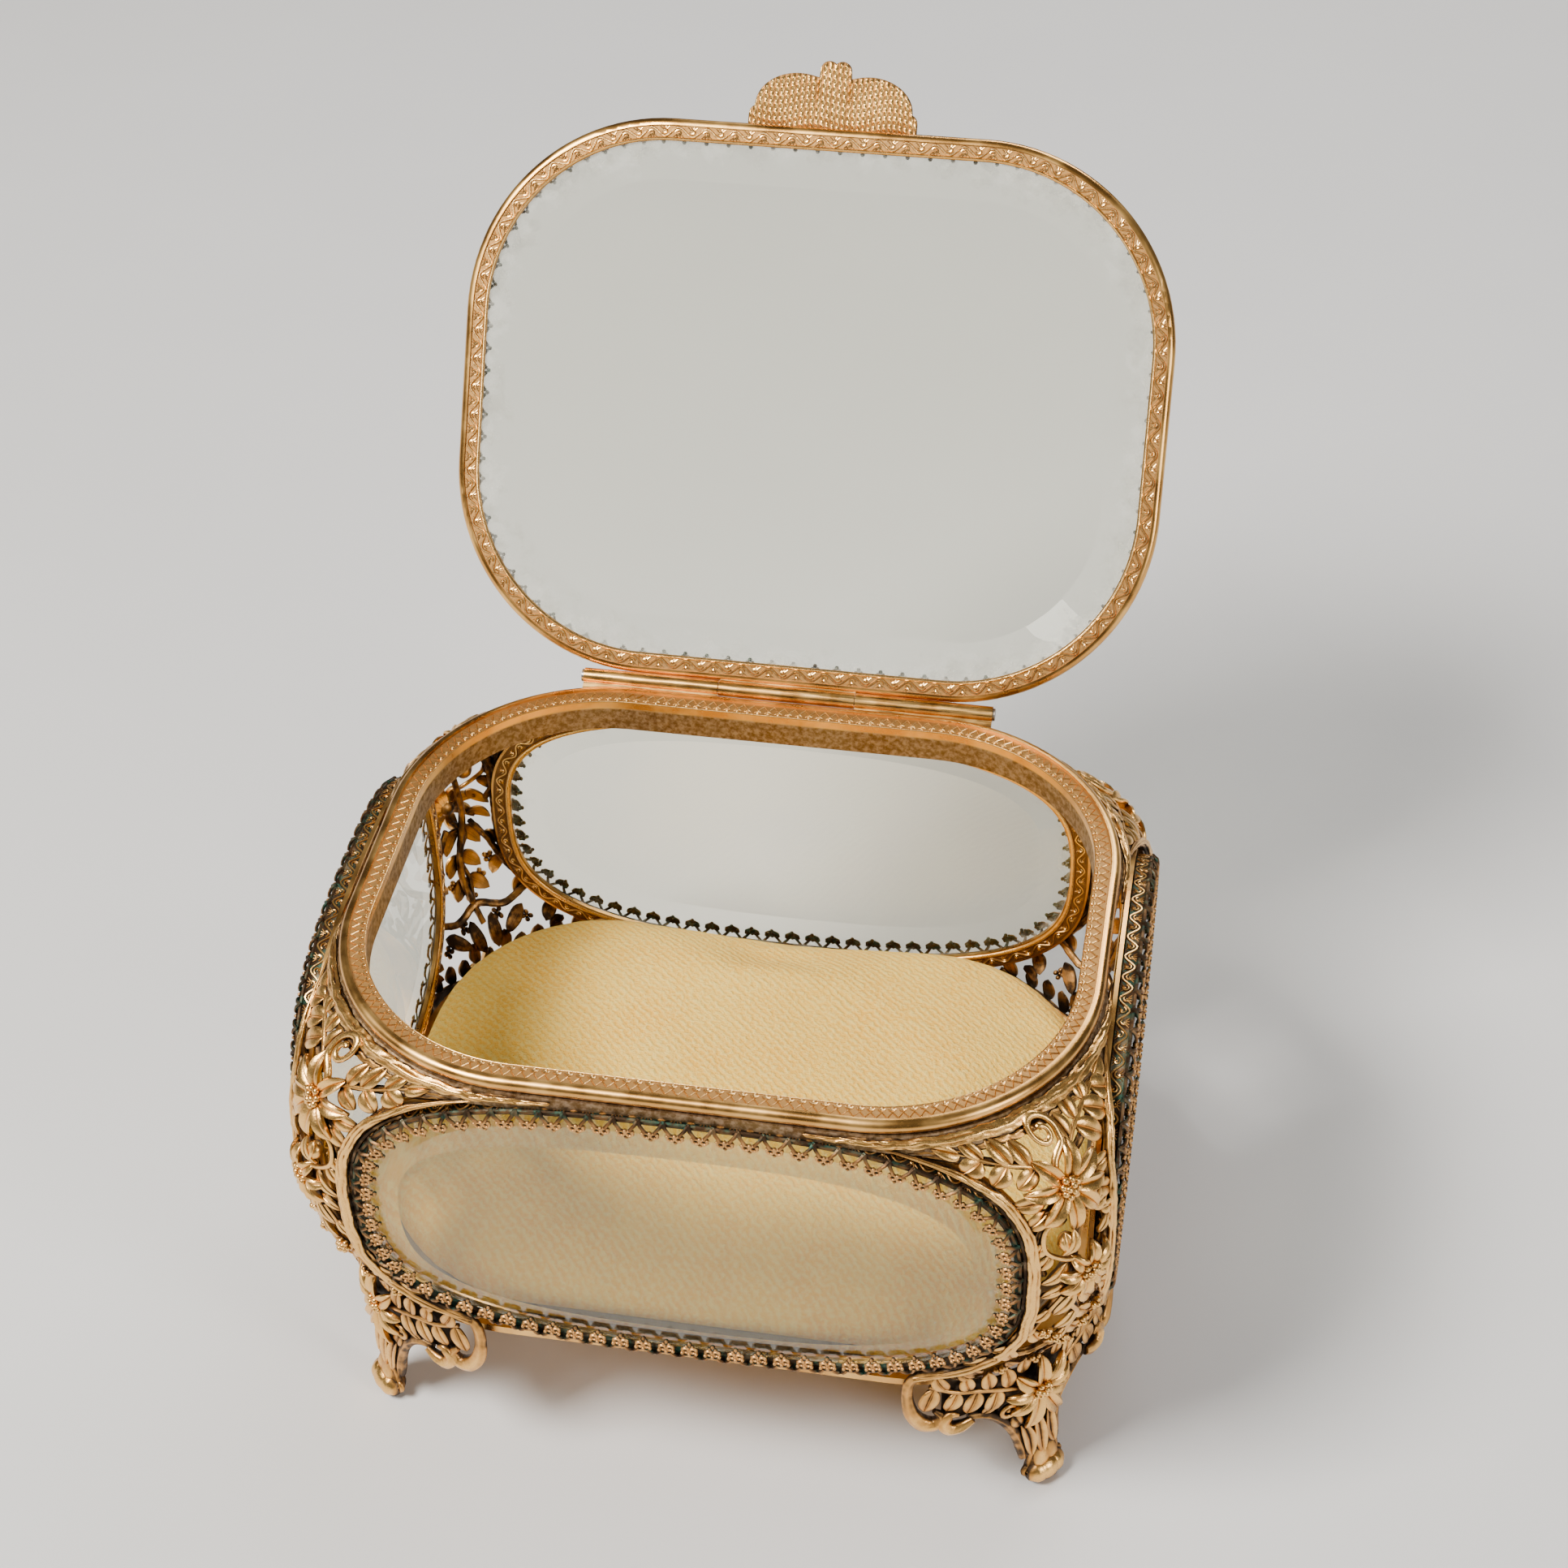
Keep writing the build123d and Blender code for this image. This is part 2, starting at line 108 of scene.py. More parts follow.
# ---------------------------------------------------------------- outlines
class Outline:
    """A closed outline, measured by its own length, with outward normals."""

    def __init__(self, points):
        closed = np.vstack([points, points[:1]])
        steps = np.linalg.norm(np.diff(closed, axis=0), axis=1)
        self.travel = np.concatenate([[0.0], np.cumsum(steps)])
        self.length = self.travel[-1]
        self.points = closed
        tangents = np.roll(points, -1, axis=0) - np.roll(points, 1, axis=0)
        tangents /= np.linalg.norm(tangents, axis=1)[:, None]
        normals = np.column_stack([tangents[:, 1], -tangents[:, 0]])
        self.normals = np.vstack([normals, normals[:1]])

    def at(self, travel, inset):
        """Points at these distances along the outline, drawn in by inset."""
        travel = np.mod(travel, self.length)
        found = [np.interp(travel, self.travel, column) for column in self.points.T]
        out = [np.interp(travel, self.travel, column) for column in self.normals.T]
        return found[0] - out[0] * inset, found[1] - out[1] * inset

    def resampled(self, count, inset=0.0, start=0.0):
        """The same outline as count even points, drawn in by inset."""
        travel = start + np.arange(count) * self.length / count
        return Outline(np.column_stack(self.at(travel, inset)))


def superellipse(half_width, half_height, order):
    """A window's outline, starting at the middle of its right side."""
    turns = np.arange(OUTLINE_POINTS) * tau / OUTLINE_POINTS
    x = half_width * np.sign(np.cos(turns)) * np.abs(np.cos(turns)) ** (2 / order)
    y = half_height * np.sign(np.sin(turns)) * np.abs(np.sin(turns)) ** (2 / order)
    return Outline(np.column_stack([x, y])).resampled(OUTLINE_POINTS)


def rounded_rectangle(width, depth, corner, step=0.75):
    """The outline that the rim and the lid share, from the middle of the back edge."""
    points = []
    for index in range(4):
        x_sign = (1, -1, -1, 1)[index]
        y_sign = (1, 1, -1, -1)[index]
        centre = (x_sign * (width / 2 - corner), y_sign * (depth / 2 - corner))
        count = int(corner * pi / 2 / step)
        for turn in index * pi / 2 + np.arange(count + 1) * pi / 2 / count:
            points.append((centre[0] + corner * cos(turn), centre[1] + corner * sin(turn)))
    dense = Outline(np.array(points))
    start = np.argmin(np.abs(dense.points[:-1, 0]) - dense.points[:-1, 1])
    return dense.resampled(int(dense.length / step), start=dense.travel[start])


RIM_OUTLINE = rounded_rectangle(RIM_WIDTH, RIM_DEPTH, RIM_CORNER)


# ---------------------------------------------------------------- placing functions
def smooth_sections(drop):
    """Width, depth and corner radius of the body at these drops below the rim."""
    heights = BODY_SECTIONS[:, 0]
    values = BODY_SECTIONS[:, 1:]
    slopes = np.gradient(values, heights, axis=0)
    drop = np.clip(drop, heights[0], heights[-1])
    cell = np.clip(np.searchsorted(heights, drop) - 1, 0, len(heights) - 2)
    span = heights[cell + 1] - heights[cell]
    t = ((drop - heights[cell]) / span)[:, None]
    span = span[:, None]
    return (
        (2 * t**3 - 3 * t**2 + 1) * values[cell]
        + (t**3 - 2 * t**2 + t) * span * slopes[cell]
        + (3 * t**2 - 2 * t**3) * values[cell + 1]
        + (t**3 - t**2) * span * slopes[cell + 1]
    )


def wrap_corner(u, v, centre_x, centre_y, corner):
    """The front right corner's surface: u runs from the front face over the corner."""
    arc = corner * pi / 4
    turn = np.clip(pi / 4 + u / corner, 0, pi / 2)
    x = centre_x + corner * np.sin(turn) + np.minimum(u + arc, 0)
    y = -(centre_y + corner * np.cos(turn)) + np.maximum(u - arc, 0)
    return np.column_stack([x, y, v])


def body_surface(u, v):
    """A point of the bombe body, or of a foot's cylinder below it."""
    width, depth, corner = smooth_sections(RIM_TOP - v).T
    body = wrap_corner(u, v, width / 2 - corner, depth / 2 - corner, corner)
    leg = wrap_corner(u, v, FOOT_CENTRE[0], FOOT_CENTRE[1], FOOT_RADIUS)
    share = np.clip((PANEL_BOTTOM + 3.0 - v) / 6.0, 0, 1)[:, None]
    return body * (1 - share) + leg * share


def on_corner(drawing):
    """Bends a drawing onto the front right corner of the body and its foot."""
    u, v, h = drawing.T
    step = 0.05
    here = body_surface(u, v)
    across = body_surface(u + step, v) - here
    upward = body_surface(u, v + step) - here
    normal = np.cross(across, upward)
    normal /= np.linalg.norm(normal, axis=1)[:, None]
    return here + normal * h[:, None]


def window_axes(side):
    """Origin, right and outward directions of a window's tip plane."""
    return {
        "front": ((0, -FRONT_FACE, WINDOW_Z), (1, 0, 0), (0, -1, 0)),
        "back": ((0, FRONT_FACE, WINDOW_Z), (-1, 0, 0), (0, 1, 0)),
        "left": ((-SIDE_FACE, 0, WINDOW_Z), (0, -1, 0), (-1, 0, 0)),
        "right": ((SIDE_FACE, 0, WINDOW_Z), (0, 1, 0), (1, 0, 0)),
    }[side]


def lid_axes(height=0.0):
    """Origin, right and outward directions of a plane in the open lid."""
    turn = radians(OPEN_ANGLE)
    outward = np.array((0, sin(turn), cos(turn)))
    upward = np.cross(outward, (1, 0, 0))
    origin = np.array((0, HINGE_Y, HINGE_Z)) - upward * HINGE_Y + outward * height
    return (tuple(origin), (1, 0, 0), tuple(outward))


def rim_axes(height):
    """Origin, right and outward directions of a level plane over the box."""
    return ((0, 0, height), (1, 0, 0), (0, 0, 1))


def in_plane(axes, x, y, rise):
    """Points in a plane's axes: x to the right, y upwards and rise outwards."""
    origin, right, normal = (np.array(axis, float) for axis in axes)
    upward = np.cross(normal, right)
    return origin + np.outer(x, right) + np.outer(y, upward) + np.outer(rise, normal)


def face_place(outline, axes, outward=1.0):
    """Bends a strip (u along the outline, v inset, h proud) onto a flat face."""
    return lambda drawing: in_plane(
        axes, *outline.at(drawing[:, 0], drawing[:, 1]), outward * drawing[:, 2])


def wall_place(outline, axes, inset):
    """Bends a strip (u along the outline, v depth, h proud) onto its side wall."""
    return lambda drawing: in_plane(
        axes, *outline.at(drawing[:, 0], inset - drawing[:, 2]), -drawing[:, 1])


# ---------------------------------------------------------------- relief drawing
def curve_through(points, steps=6):
    """A smooth line through the given points (Catmull-Rom)."""
    points = np.array(points, float)
    padded = np.vstack([2 * points[0] - points[1], points, 2 * points[-1] - points[-2]])
    line = []
    for index in range(len(points) - 1):
        a, b, c, d = padded[index : index + 4]
        for t in np.arange(steps) / steps:
            line.append(
                0.5 * (2 * b + (c - a) * t + (2 * a - 5 * b + 4 * c - d) * t**2
                       + (3 * b - a - 3 * c + d) * t**3)
            )
    line.append(points[-1])
    return np.array(line)


def ring_faces(count, size, closed=True):
    """The faces between count rings of size points; closed joins the last to the first."""
    faces = []
    for station in range(count if closed else count - 1):
        a, b = station * size, (station + 1) % count * size
        for side in range(size):
            beside = (side + 1) % size
            faces.append((a + side, a + beside, b + beside, b + side))
    return faces


def jitter(*seed):
    """A repeatable number from -1 to 1."""
    return noise.noise(Vector((seed + (0.37, 0.71, 0.13))[:3]) * 3.17)


class Relief:
    """Closed bodies drawn in (u, v, h) that make up one casting."""

    def __init__(self):
        self.points = []
        self.tones = []
        self.faces = []
        self.count = 0

    def add(self, points, faces, shade_and_wear=0.0):
        """Adds one closed body; its brightness follows its height and is shifted by the last
        argument: rubbed wear on the crests, painted highlight on tops, and painted shade on sides
        and in gaps.
        """
        self.points.append(points)
        self.tones.append(points[:, 2] + shade_and_wear)
        self.faces.extend([[self.count + index for index in face] for face in faces])
        self.count += len(points)

    def shift(self, across, rise):
        """Moves the whole drawing across its strip and away from its surface."""
        self.points = [points + (0, across, rise) for points in self.points]
        self.tones = [tones + rise for tones in self.tones]

    def slab(self, top, bottom, shade_and_wear=0.0):
        """Closes two grids of points, a top and a bottom, into one body."""
        rows, columns = top.shape[:2]
        grid = np.arange(rows * columns).reshape(rows, columns)
        lower = rows * columns
        faces = []
        cells = np.stack([grid[:-1, :-1], grid[:-1, 1:], grid[1:, 1:], grid[1:, :-1]], axis=-1)
        for cell in cells.reshape(-1, 4).tolist():
            faces += [cell, [lower + index for index in reversed(cell)]]
        border = [*grid[0], *grid[1:, -1], *grid[-1, -2::-1], *grid[-2:0:-1, 0]]
        for a, b in zip(border, border[1:] + border[:1]):
            faces.append((b, a, lower + a, lower + b))
        shade_and_wear = np.broadcast_to(shade_and_wear, (rows, columns)).ravel()
        self.add(np.vstack([top.reshape(-1, 3), bottom.reshape(-1, 3)]), faces,
                 np.concatenate([shade_and_wear, shade_and_wear]))

    def tube(self, line, widths, heights=None, sides=6, closed=False, ridges=None, shade_and_wear=0.0):
        """A round or flattened rod along a line; ridges shapes its section."""
        line = np.array(line, float)
        count = len(line)
        widths, heights = (
            np.interp(np.linspace(0, 1, count), np.linspace(0, 1, len(sizes)), sizes)
            for sizes in (widths, widths if heights is None else heights)
        )
        if closed:
            ahead = np.roll(line, -1, axis=0) - np.roll(line, 1, axis=0)
        else:
            ahead = np.gradient(line, axis=0)
        ahead /= np.maximum(np.linalg.norm(ahead, axis=1), 1e-9)[:, None]
        across = np.column_stack([-ahead[:, 1], ahead[:, 0], np.zeros(count)])
        across /= np.maximum(np.linalg.norm(across, axis=1), 1e-6)[:, None]
        upward = np.cross(ahead, across)
        turns = np.arange(sides) * tau / sides
        rings = []
        worn = []
        for station in range(count):
            scale = np.ones(sides) if ridges is None else ridges(station, turns)
            # ridges lighter and the hollows between them darker: wear, painted highlight and
            # painted shade
            worn.append(shade_and_wear + RIDGE_WEAR_AND_SHADE * (scale - 1))
            rings.append(
                line[station]
                + np.outer(np.cos(turns) * scale * widths[station], across[station])
                + np.outer(np.sin(turns) * scale * heights[station], upward[station])
            )
        faces = ring_faces(count, sides, closed)
        if not closed:
            faces.append(tuple(reversed(range(sides))))
            faces.append(tuple((count - 1) * sides + side for side in range(sides)))
        self.add(np.vstack(rings), faces, np.concatenate(worn))

    def bead(self, u, v, h, radius, squash=1.0, sides=8, shade_and_wear=0.0):
        """A small ball."""
        levels = 4
        turns = [tau * side / sides for side in range(sides)]
        points = [(u, v, h + radius * squash)]
        for level in range(1, levels):
            tilt = pi * level / levels
            out = radius * sin(tilt)
            rise = radius * squash * cos(tilt)
            points += [(u + out * cos(turn), v + out * sin(turn), h + rise) for turn in turns]
        points.append((u, v, h - radius * squash))
        last = len(points) - 1
        faces = []
        for side in range(sides):
            beside = (side + 1) % sides
            faces.append((0, 1 + side, 1 + beside))
            faces.append((last, last - sides + beside, last - sides + side))
            for level in range(levels - 2):
                a = 1 + level * sides
                b = a + sides
                faces.append((a + side, b + side, b + beside, a + beside))
        self.add(np.array(points), faces, shade_and_wear)

    def ring(self, u, v, h, radius, thickness, segments=10, sides=5):
        """A small torus that lies flat."""
        turns = np.arange(segments) * tau / segments
        line = np.column_stack([
            u + radius * np.cos(turns), v + radius * np.sin(turns), np.full(segments, h)
        ])
        self.tube(line, [thickness], sides=sides, closed=True)

    def blade(self, root, tip, width, rise, kind="leaf", bend=0.0, thickness=0.5):
        """A leaf or petal from root to tip; rise is its height at root, middle and tip."""
        rows = 9
        root, tip = np.array(root, float), np.array(tip, float)
        length = np.linalg.norm(tip - root)
        ahead = (tip - root) / length
        across = np.array((-ahead[1], ahead[0]))
        along = np.linspace(0, 1, rows)
        if kind == "leaf":
            columns = np.array((-1, -0.72, -0.35, -0.09, 0, 0.09, 0.35, 0.72, 1))
            profile = np.array((-0.03, 0.16, 0.07, -0.05, 0.13, -0.05, 0.07, 0.16, -0.03))
            width *= LEAF_FULLNESS
            spread = along**0.55 * (1 - along) ** 0.62
        else:
            columns = np.array((-1, -0.8, -0.42, -0.1, 0, 0.1, 0.42, 0.8, 1))
            profile = np.array((0.24, 0.50, 0.34, 0.06, -0.10, 0.06, 0.34, 0.50, 0.24))
            spread = (0.16 + along) ** 0.8 * (1.02 - along) ** 0.62
        spread = np.maximum(spread / spread.max() * width / 2, 0.07)
        middle = rise[1] + (1 - (2 * along - 1) ** 2) * 0.15
        height = np.where(
            along < 0.5,
            rise[0] + (middle - rise[0]) * np.sin(along * pi) ** 0.8,
            rise[2] + (middle - rise[2]) * np.sin(along * pi) ** 0.8,
        )
        centre = root + np.outer(along * length, ahead)
        centre += np.outer(bend * np.sin(along * pi), across)
        top = np.zeros((rows, len(columns), 3))
        top[:, :, :2] = centre[:, None, :] + spread[:, None, None] * columns[None, :, None] * across
        relief_scale = spread / spread.max()
        top[:, :, 2] = height[:, None] + np.outer(relief_scale, profile) * width * 0.42
        bottom = top.copy()
        bottom[:, :, :2] = centre[:, None, :] + (top[:, :, :2] - centre[:, None, :]) * 0.86
        bottom[:, :, 2] = (height - thickness)[:, None]
        # the folds' ridges are painted lighter and their hollows darker: wear, painted highlight
        # and painted shade
        folds = profile - profile.mean()
        self.slab(top, bottom, CREASE_WEAR_AND_SHADE * np.outer(relief_scale, folds) * width * 0.42)

    def flower(self, u, v, petals, beads=7, bead_radius=0.62, lift=0.6):
        """Pointed petals round a cluster of beads; petals are (angle, length, width)."""
        for number, (angle, length, width) in enumerate(petals):
            turn = radians(angle)
            ahead = np.array((cos(turn), sin(turn)))
            root = (u + ahead[0] * 0.9, v + ahead[1] * 0.9)
            tip = (u + ahead[0] * length * 1.08, v + ahead[1] * length * 1.08)
            crest = lift + 0.55 + 0.25 * jitter(u, number)
            droop = lift - 0.5 + 0.45 * jitter(v, number)
            bend = 0.45 * jitter(number, u, v)
            self.blade(root, tip, width, (lift - 0.2, crest, droop), "petal", bend, 0.55)
        self.bead(u, v, lift - 0.2, 1.8, 0.7)
        for number in range(beads):
            turn = tau * number / beads + 0.4
            out = bead_radius * (2.1 + 0.35 * jitter(number, u))
            spot = (u + out * cos(turn), v + out * sin(turn))
            self.bead(*spot, lift + 0.7 + 0.25 * jitter(number, v), bead_radius)
        for turn in (0.9, 3.0, 5.1):
            out = bead_radius * 0.85
            self.bead(u + out * cos(turn), v + out * sin(turn), lift + 1.15, bead_radius * 0.95)

    def leaves(self, leaves, rise, sway=0.4):
        """Loose leaves, each given as (root, tip, width)."""
        for root, tip, width in leaves:
            self.blade(root, tip, width, rise, "leaf", sway * jitter(*tip))

    def berries(self, u, v, phase, out, height, radius):
        """A cluster of five beads, the middle one raised."""
        for number in range(4):
            turn = tau * number / 4 + phase
            self.bead(u + out * cos(turn), v + out * sin(turn), height, radius)
        self.bead(u, v, height + 0.45, radius)

    def stem(self, points, start=0.5, end=0.32, height=0.0):
        """A thin branch through the given (u, v) points."""
        points = [(u, v, height) for u, v in points]
        self.tube(curve_through(points), [start, end], sides=7)

    def sprig(self, points, leaves, start=0.5, end=0.3, height=0.1):
        """A stem with leaves, each given as (root, tip, width)."""
        self.stem(points, start, end, height)
        for number, (root, tip, width) in enumerate(leaves):
            bend = 0.3 * jitter(number, root[0], root[1])
            rise = (height + 0.1, height + 0.42, height + 0.05 + 0.25 * jitter(tip[0], tip[1]))
            self.blade(root, tip, width, rise, "leaf", bend)

    def spiral(self, u, v, radius, turns, start_angle, tail, thickness=0.42, hand=1,
               lift=0.3):
        """A tendril that curls inwards from its tail."""
        count = int(turns * 14)
        line = [(*point, lift) for point in tail]
        for number in range(count + 1):
            share = number / count
            turn = start_angle + hand * tau * turns * share
            out = radius * (1 - 0.8 * share)
            line.append((u + out * cos(turn), v + out * sin(turn), lift + 0.5 * share))
        line = curve_through(line, 3)
        self.tube(line, [thickness * 1.25, thickness, thickness * 0.8], sides=8)

    def branch(self, line, widths, height=0.2, sides=30, seed=0.0):
        """A thick branch with bark ridges along it and a few swellings."""
        line = np.array([(u, v, height) for u, v in line])

        def ridges(station, turns):
            place = Vector(line[station])
            drift = 2.2 * noise.noise(place * 0.22) + seed
            ridge = 0.42 * np.abs(np.sin(turns * 3 + drift)) ** 0.7 - 0.24
            knots = [
                0.22 * noise.noise(Vector((place[0] * 0.8 + cos(t) * 2.2 + seed,
                                           place[1] * 0.8, sin(t) * 2.2)))
                for t in turns
            ]
            return 1 + ridge + np.array(knots)

        self.tube(line, widths, [width * 0.95 for width in widths], sides, ridges=ridges,
                  shade_and_wear=-0.35)

    def vine_band(self, length, half_width, wave=6.2, thickness=0.25, height=0.1):
        """A running vine: a wave with a curl in every bend and dots beside it."""
        waves = max(4, round(length / wave))
        wave = length / waves
        swing = half_width * 0.80
        count = waves * 12
        along = np.arange(count + 1) * length / count
        line = np.column_stack([
            along, swing * np.sin(tau * along / wave), np.full(count + 1, height)
        ])
        self.tube(line, [thickness], sides=6)
        for number in range(2 * waves):
            hand = 1 if number % 2 == 0 else -1
            centre = (number + 0.5) * wave / 2
            middle = -0.22 * hand * half_width
            curl = []
            for step in range(9):
                turn = hand * (pi * 0.9 - tau * 0.75 * step / 8)
                out = half_width * (0.60 - 0.05 * step)
                curl.append((centre + out * cos(turn), middle + out * sin(turn), height + 0.05))
            self.tube(curl, [thickness * 0.7, thickness * 0.9, thickness], sides=5)
            self.bead(centre, middle, height + 0.05, thickness * 0.8, sides=6)
            for spread in (-1.0, -0.35, 0.35, 1.0):
                root = (centre + 0.35 * spread, -0.42 * hand * half_width, height)
                tip = (centre + spread, (0.08 * abs(spread) - 0.98) * hand * half_width, height)
                self.tube([root, tip], [thickness * 0.65, thickness * 0.4], sides=5)

    def build(self, name, place, material, body, mirror=(1, 1), replaced=(),
              slot="gilt_filigree", base=0.0):
        """Writes the casting as a mesh; base is the height where its recesses begin."""
        points = place(np.vstack(self.points)) * (*mirror, 1) * MM
        mesh = bpy.data.meshes.new(name)
        mesh.from_pydata(points.tolist(), [], self.faces)
        height = mesh.attributes.new("relief", "FLOAT", "POINT")
        tones = np.concatenate(self.tones) - base
        height.data.foreach_set("value", tones.astype(np.float32))
        tidy_mesh(mesh)
        return add_piece(name, mesh, material, body, replaced)


def tidy_mesh(mesh):
    """Points every face outwards, shades smooth and keeps the sharp creases."""
    shape = bmesh.new()
    shape.from_mesh(mesh)
    bmesh.ops.recalc_face_normals(shape, faces=shape.faces)
    for edge in shape.edges:
        edge.smooth = edge.calc_face_angle(0.0) < radians(SHARP_CREASE)
    for face in shape.faces:
        face.smooth = True
    shape.to_mesh(mesh)
    shape.free()


def put(name, data):
    """Links a mesh, camera or light into the scene."""
    piece = bpy.data.objects.new(name, data)
    bpy.context.scene.collection.objects.link(piece)
    return piece


def add_piece(name, mesh, material, body, replaced=()):
    """Links a mesh as a piece of the object and says what it rides on."""
    piece = put(name, mesh)
    mesh.materials.append(material)
    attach(piece, body)
    if replaced:
        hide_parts(*replaced)
    return piece


# ---------------------------------------------------------------- material helpers
class Nodes:
    """Short names for building one material's nodes."""

    def __init__(self, name):
        self.material = bpy.data.materials.new(name)
        self.material.use_nodes = True
        self.tree = self.material.node_tree
        self.shader = self.tree.nodes["Principled BSDF"]
        self.coordinates = self.new("ShaderNodeTexCoord").outputs["Object"]

    def new(self, kind, **settings):
        node = self.tree.nodes.new(kind)
        for name, value in settings.items():
            setattr(node, name, value)
        return node

    def link(self, source, target):
        self.tree.links.new(source, target)

    def set(self, **values):
        """Uniform values, set directly on the shader's own sockets."""
        for name, value in values.items():
            self.shader.inputs[name.replace("_", " ")].default_value = value

    def fill(self, node, inputs):
        for key, value in inputs.items():
            socket = node.inputs[key]
            if isinstance(value, bpy.types.NodeSocket):
                self.link(value, socket)
            else:
                socket.default_value = value

    def noise(self, size, detail=4.0, roughness=0.55, vector=None):
        """Noise whose features are about size millimetres across."""
        node = self.new("ShaderNodeTexNoise")
        self.fill(node, {
            "Vector": vector or self.coordinates,
            "Scale": 1.0 / (size * MM),
            "Detail": detail,
            "Roughness": roughness,
        })
        return node.outputs["Fac"]

    def math(self, operation, first, second=0.0, third=0.0, clamp=False):
        node = self.new("ShaderNodeMath", operation=operation, use_clamp=clamp)
        self.fill(node, {0: first, 1: second, 2: third})
        return node.outputs[0]

    def span(self, value, low, high, to_low=0.0, to_high=1.0):
        """Maps value from low..high to to_low..to_high, with soft ends."""
        node = self.new("ShaderNodeMapRange", interpolation_type="SMOOTHSTEP")
        self.fill(node, {0: value, 1: low, 2: high, 3: to_low, 4: to_high})
        return node.outputs[0]

    def mix(self, share, first, second):
        """Mixes two colours."""
        node = self.new("ShaderNodeMix", data_type="RGBA")
        self.fill(node, {0: share, 6: first, 7: second})
        return node.outputs[2]

    def bump(self, height, strength, distance, normal=None):
        node = self.new("ShaderNodeBump")
        inputs = {"Height": height, "Strength": strength, "Distance": distance * MM}
        if normal is not None:
            inputs["Normal"] = normal
        self.fill(node, inputs)
        return node.outputs[0]

    def stretched(self, scale, rotation=(0, 0, 0)):
        """Object coordinates stretched and turned."""
        node = self.new("ShaderNodeMapping")
        self.fill(node, {"Vector": self.coordinates, "Scale": scale, "Rotation": rotation})
        return node.outputs[0]

    def finish(self, tone, rough=None, normal=None):
        """Links the colour, the roughness and the bump, and gives the material."""
        for name, source in (("Base Color", tone), ("Roughness", rough), ("Normal", normal)):
            if source is not None:
                self.link(source, self.shader.inputs[name])
        return self.material


def rgb(red, green, blue):
    return (red, green, blue, 1.0)


GOLD_BRIGHT = rgb(0.94, 0.55, 0.17)
GOLD_WARM = rgb(0.63, 0.31, 0.08)
PATINA_BROWN = rgb(0.055, 0.034, 0.020)
PATINA_GREY = rgb(0.36, 0.27, 0.19)
# a dark green that is put in patches in the prongs' recesses
RECESS_GREEN = rgb(0.030, 0.085, 0.062)
VELVET_PITCH = 1.4  # between two rows of pile
WAVE_BAND = 0.314  # the width of a wave texture's band at scale 1


def gilt_polished(name, fascia=None):
    """Smooth gilt wire and band: soft wear, fine scratches and dull specks.

    Below the height fascia, where castings are soldered on, the gilt is dull and brown: a solder
    crust, and painted shade under the bead.
    """
    n = Nodes(name)
    n.set(Metallic=1.0)
    patches = n.noise(9.0, 5.0)
    specks = n.noise(0.55, 3.0)
    scratches = n.noise(0.35, 3.0, vector=n.stretched((1.0, 1.0, 0.12)))
    tone = n.mix(n.span(patches, 0.35, 0.68), GOLD_WARM, GOLD_BRIGHT)
    tone = n.mix(n.span(specks, 0.70, 0.82, 0.0, 0.55), tone, PATINA_BROWN)
    rough = n.math("ADD", n.span(patches, 0.3, 0.7, 0.24, 0.38), n.span(specks, 0.6, 0.9, 0, 0.2))
    relief = n.bump(scratches, 0.22, 0.02)
    if fascia is not None:
        parts = n.new("ShaderNodeSeparateXYZ")
        n.link(n.coordinates, parts.inputs[0])
        low = n.span(parts.outputs["Z"], fascia * MM, (fascia - 0.6) * MM)
        crust = n.noise(1.1, 5.0, 0.65)
        crust_and_shade = n.mix(n.span(crust, 0.35, 0.7), PATINA_BROWN, PATINA_GREY)
        # darkened below the bead: solder crust and painted shade
        tone = n.mix(n.math("MULTIPLY", low, 0.82), tone, crust_and_shade)
        rough = n.math("ADD", rough, n.math("MULTIPLY", low, 0.25))
        relief = n.bump(n.math("MULTIPLY", crust, low), 0.6, 0.2, relief)
    return n.finish(tone, rough, n.bump(patches, 0.25, 0.08, relief))


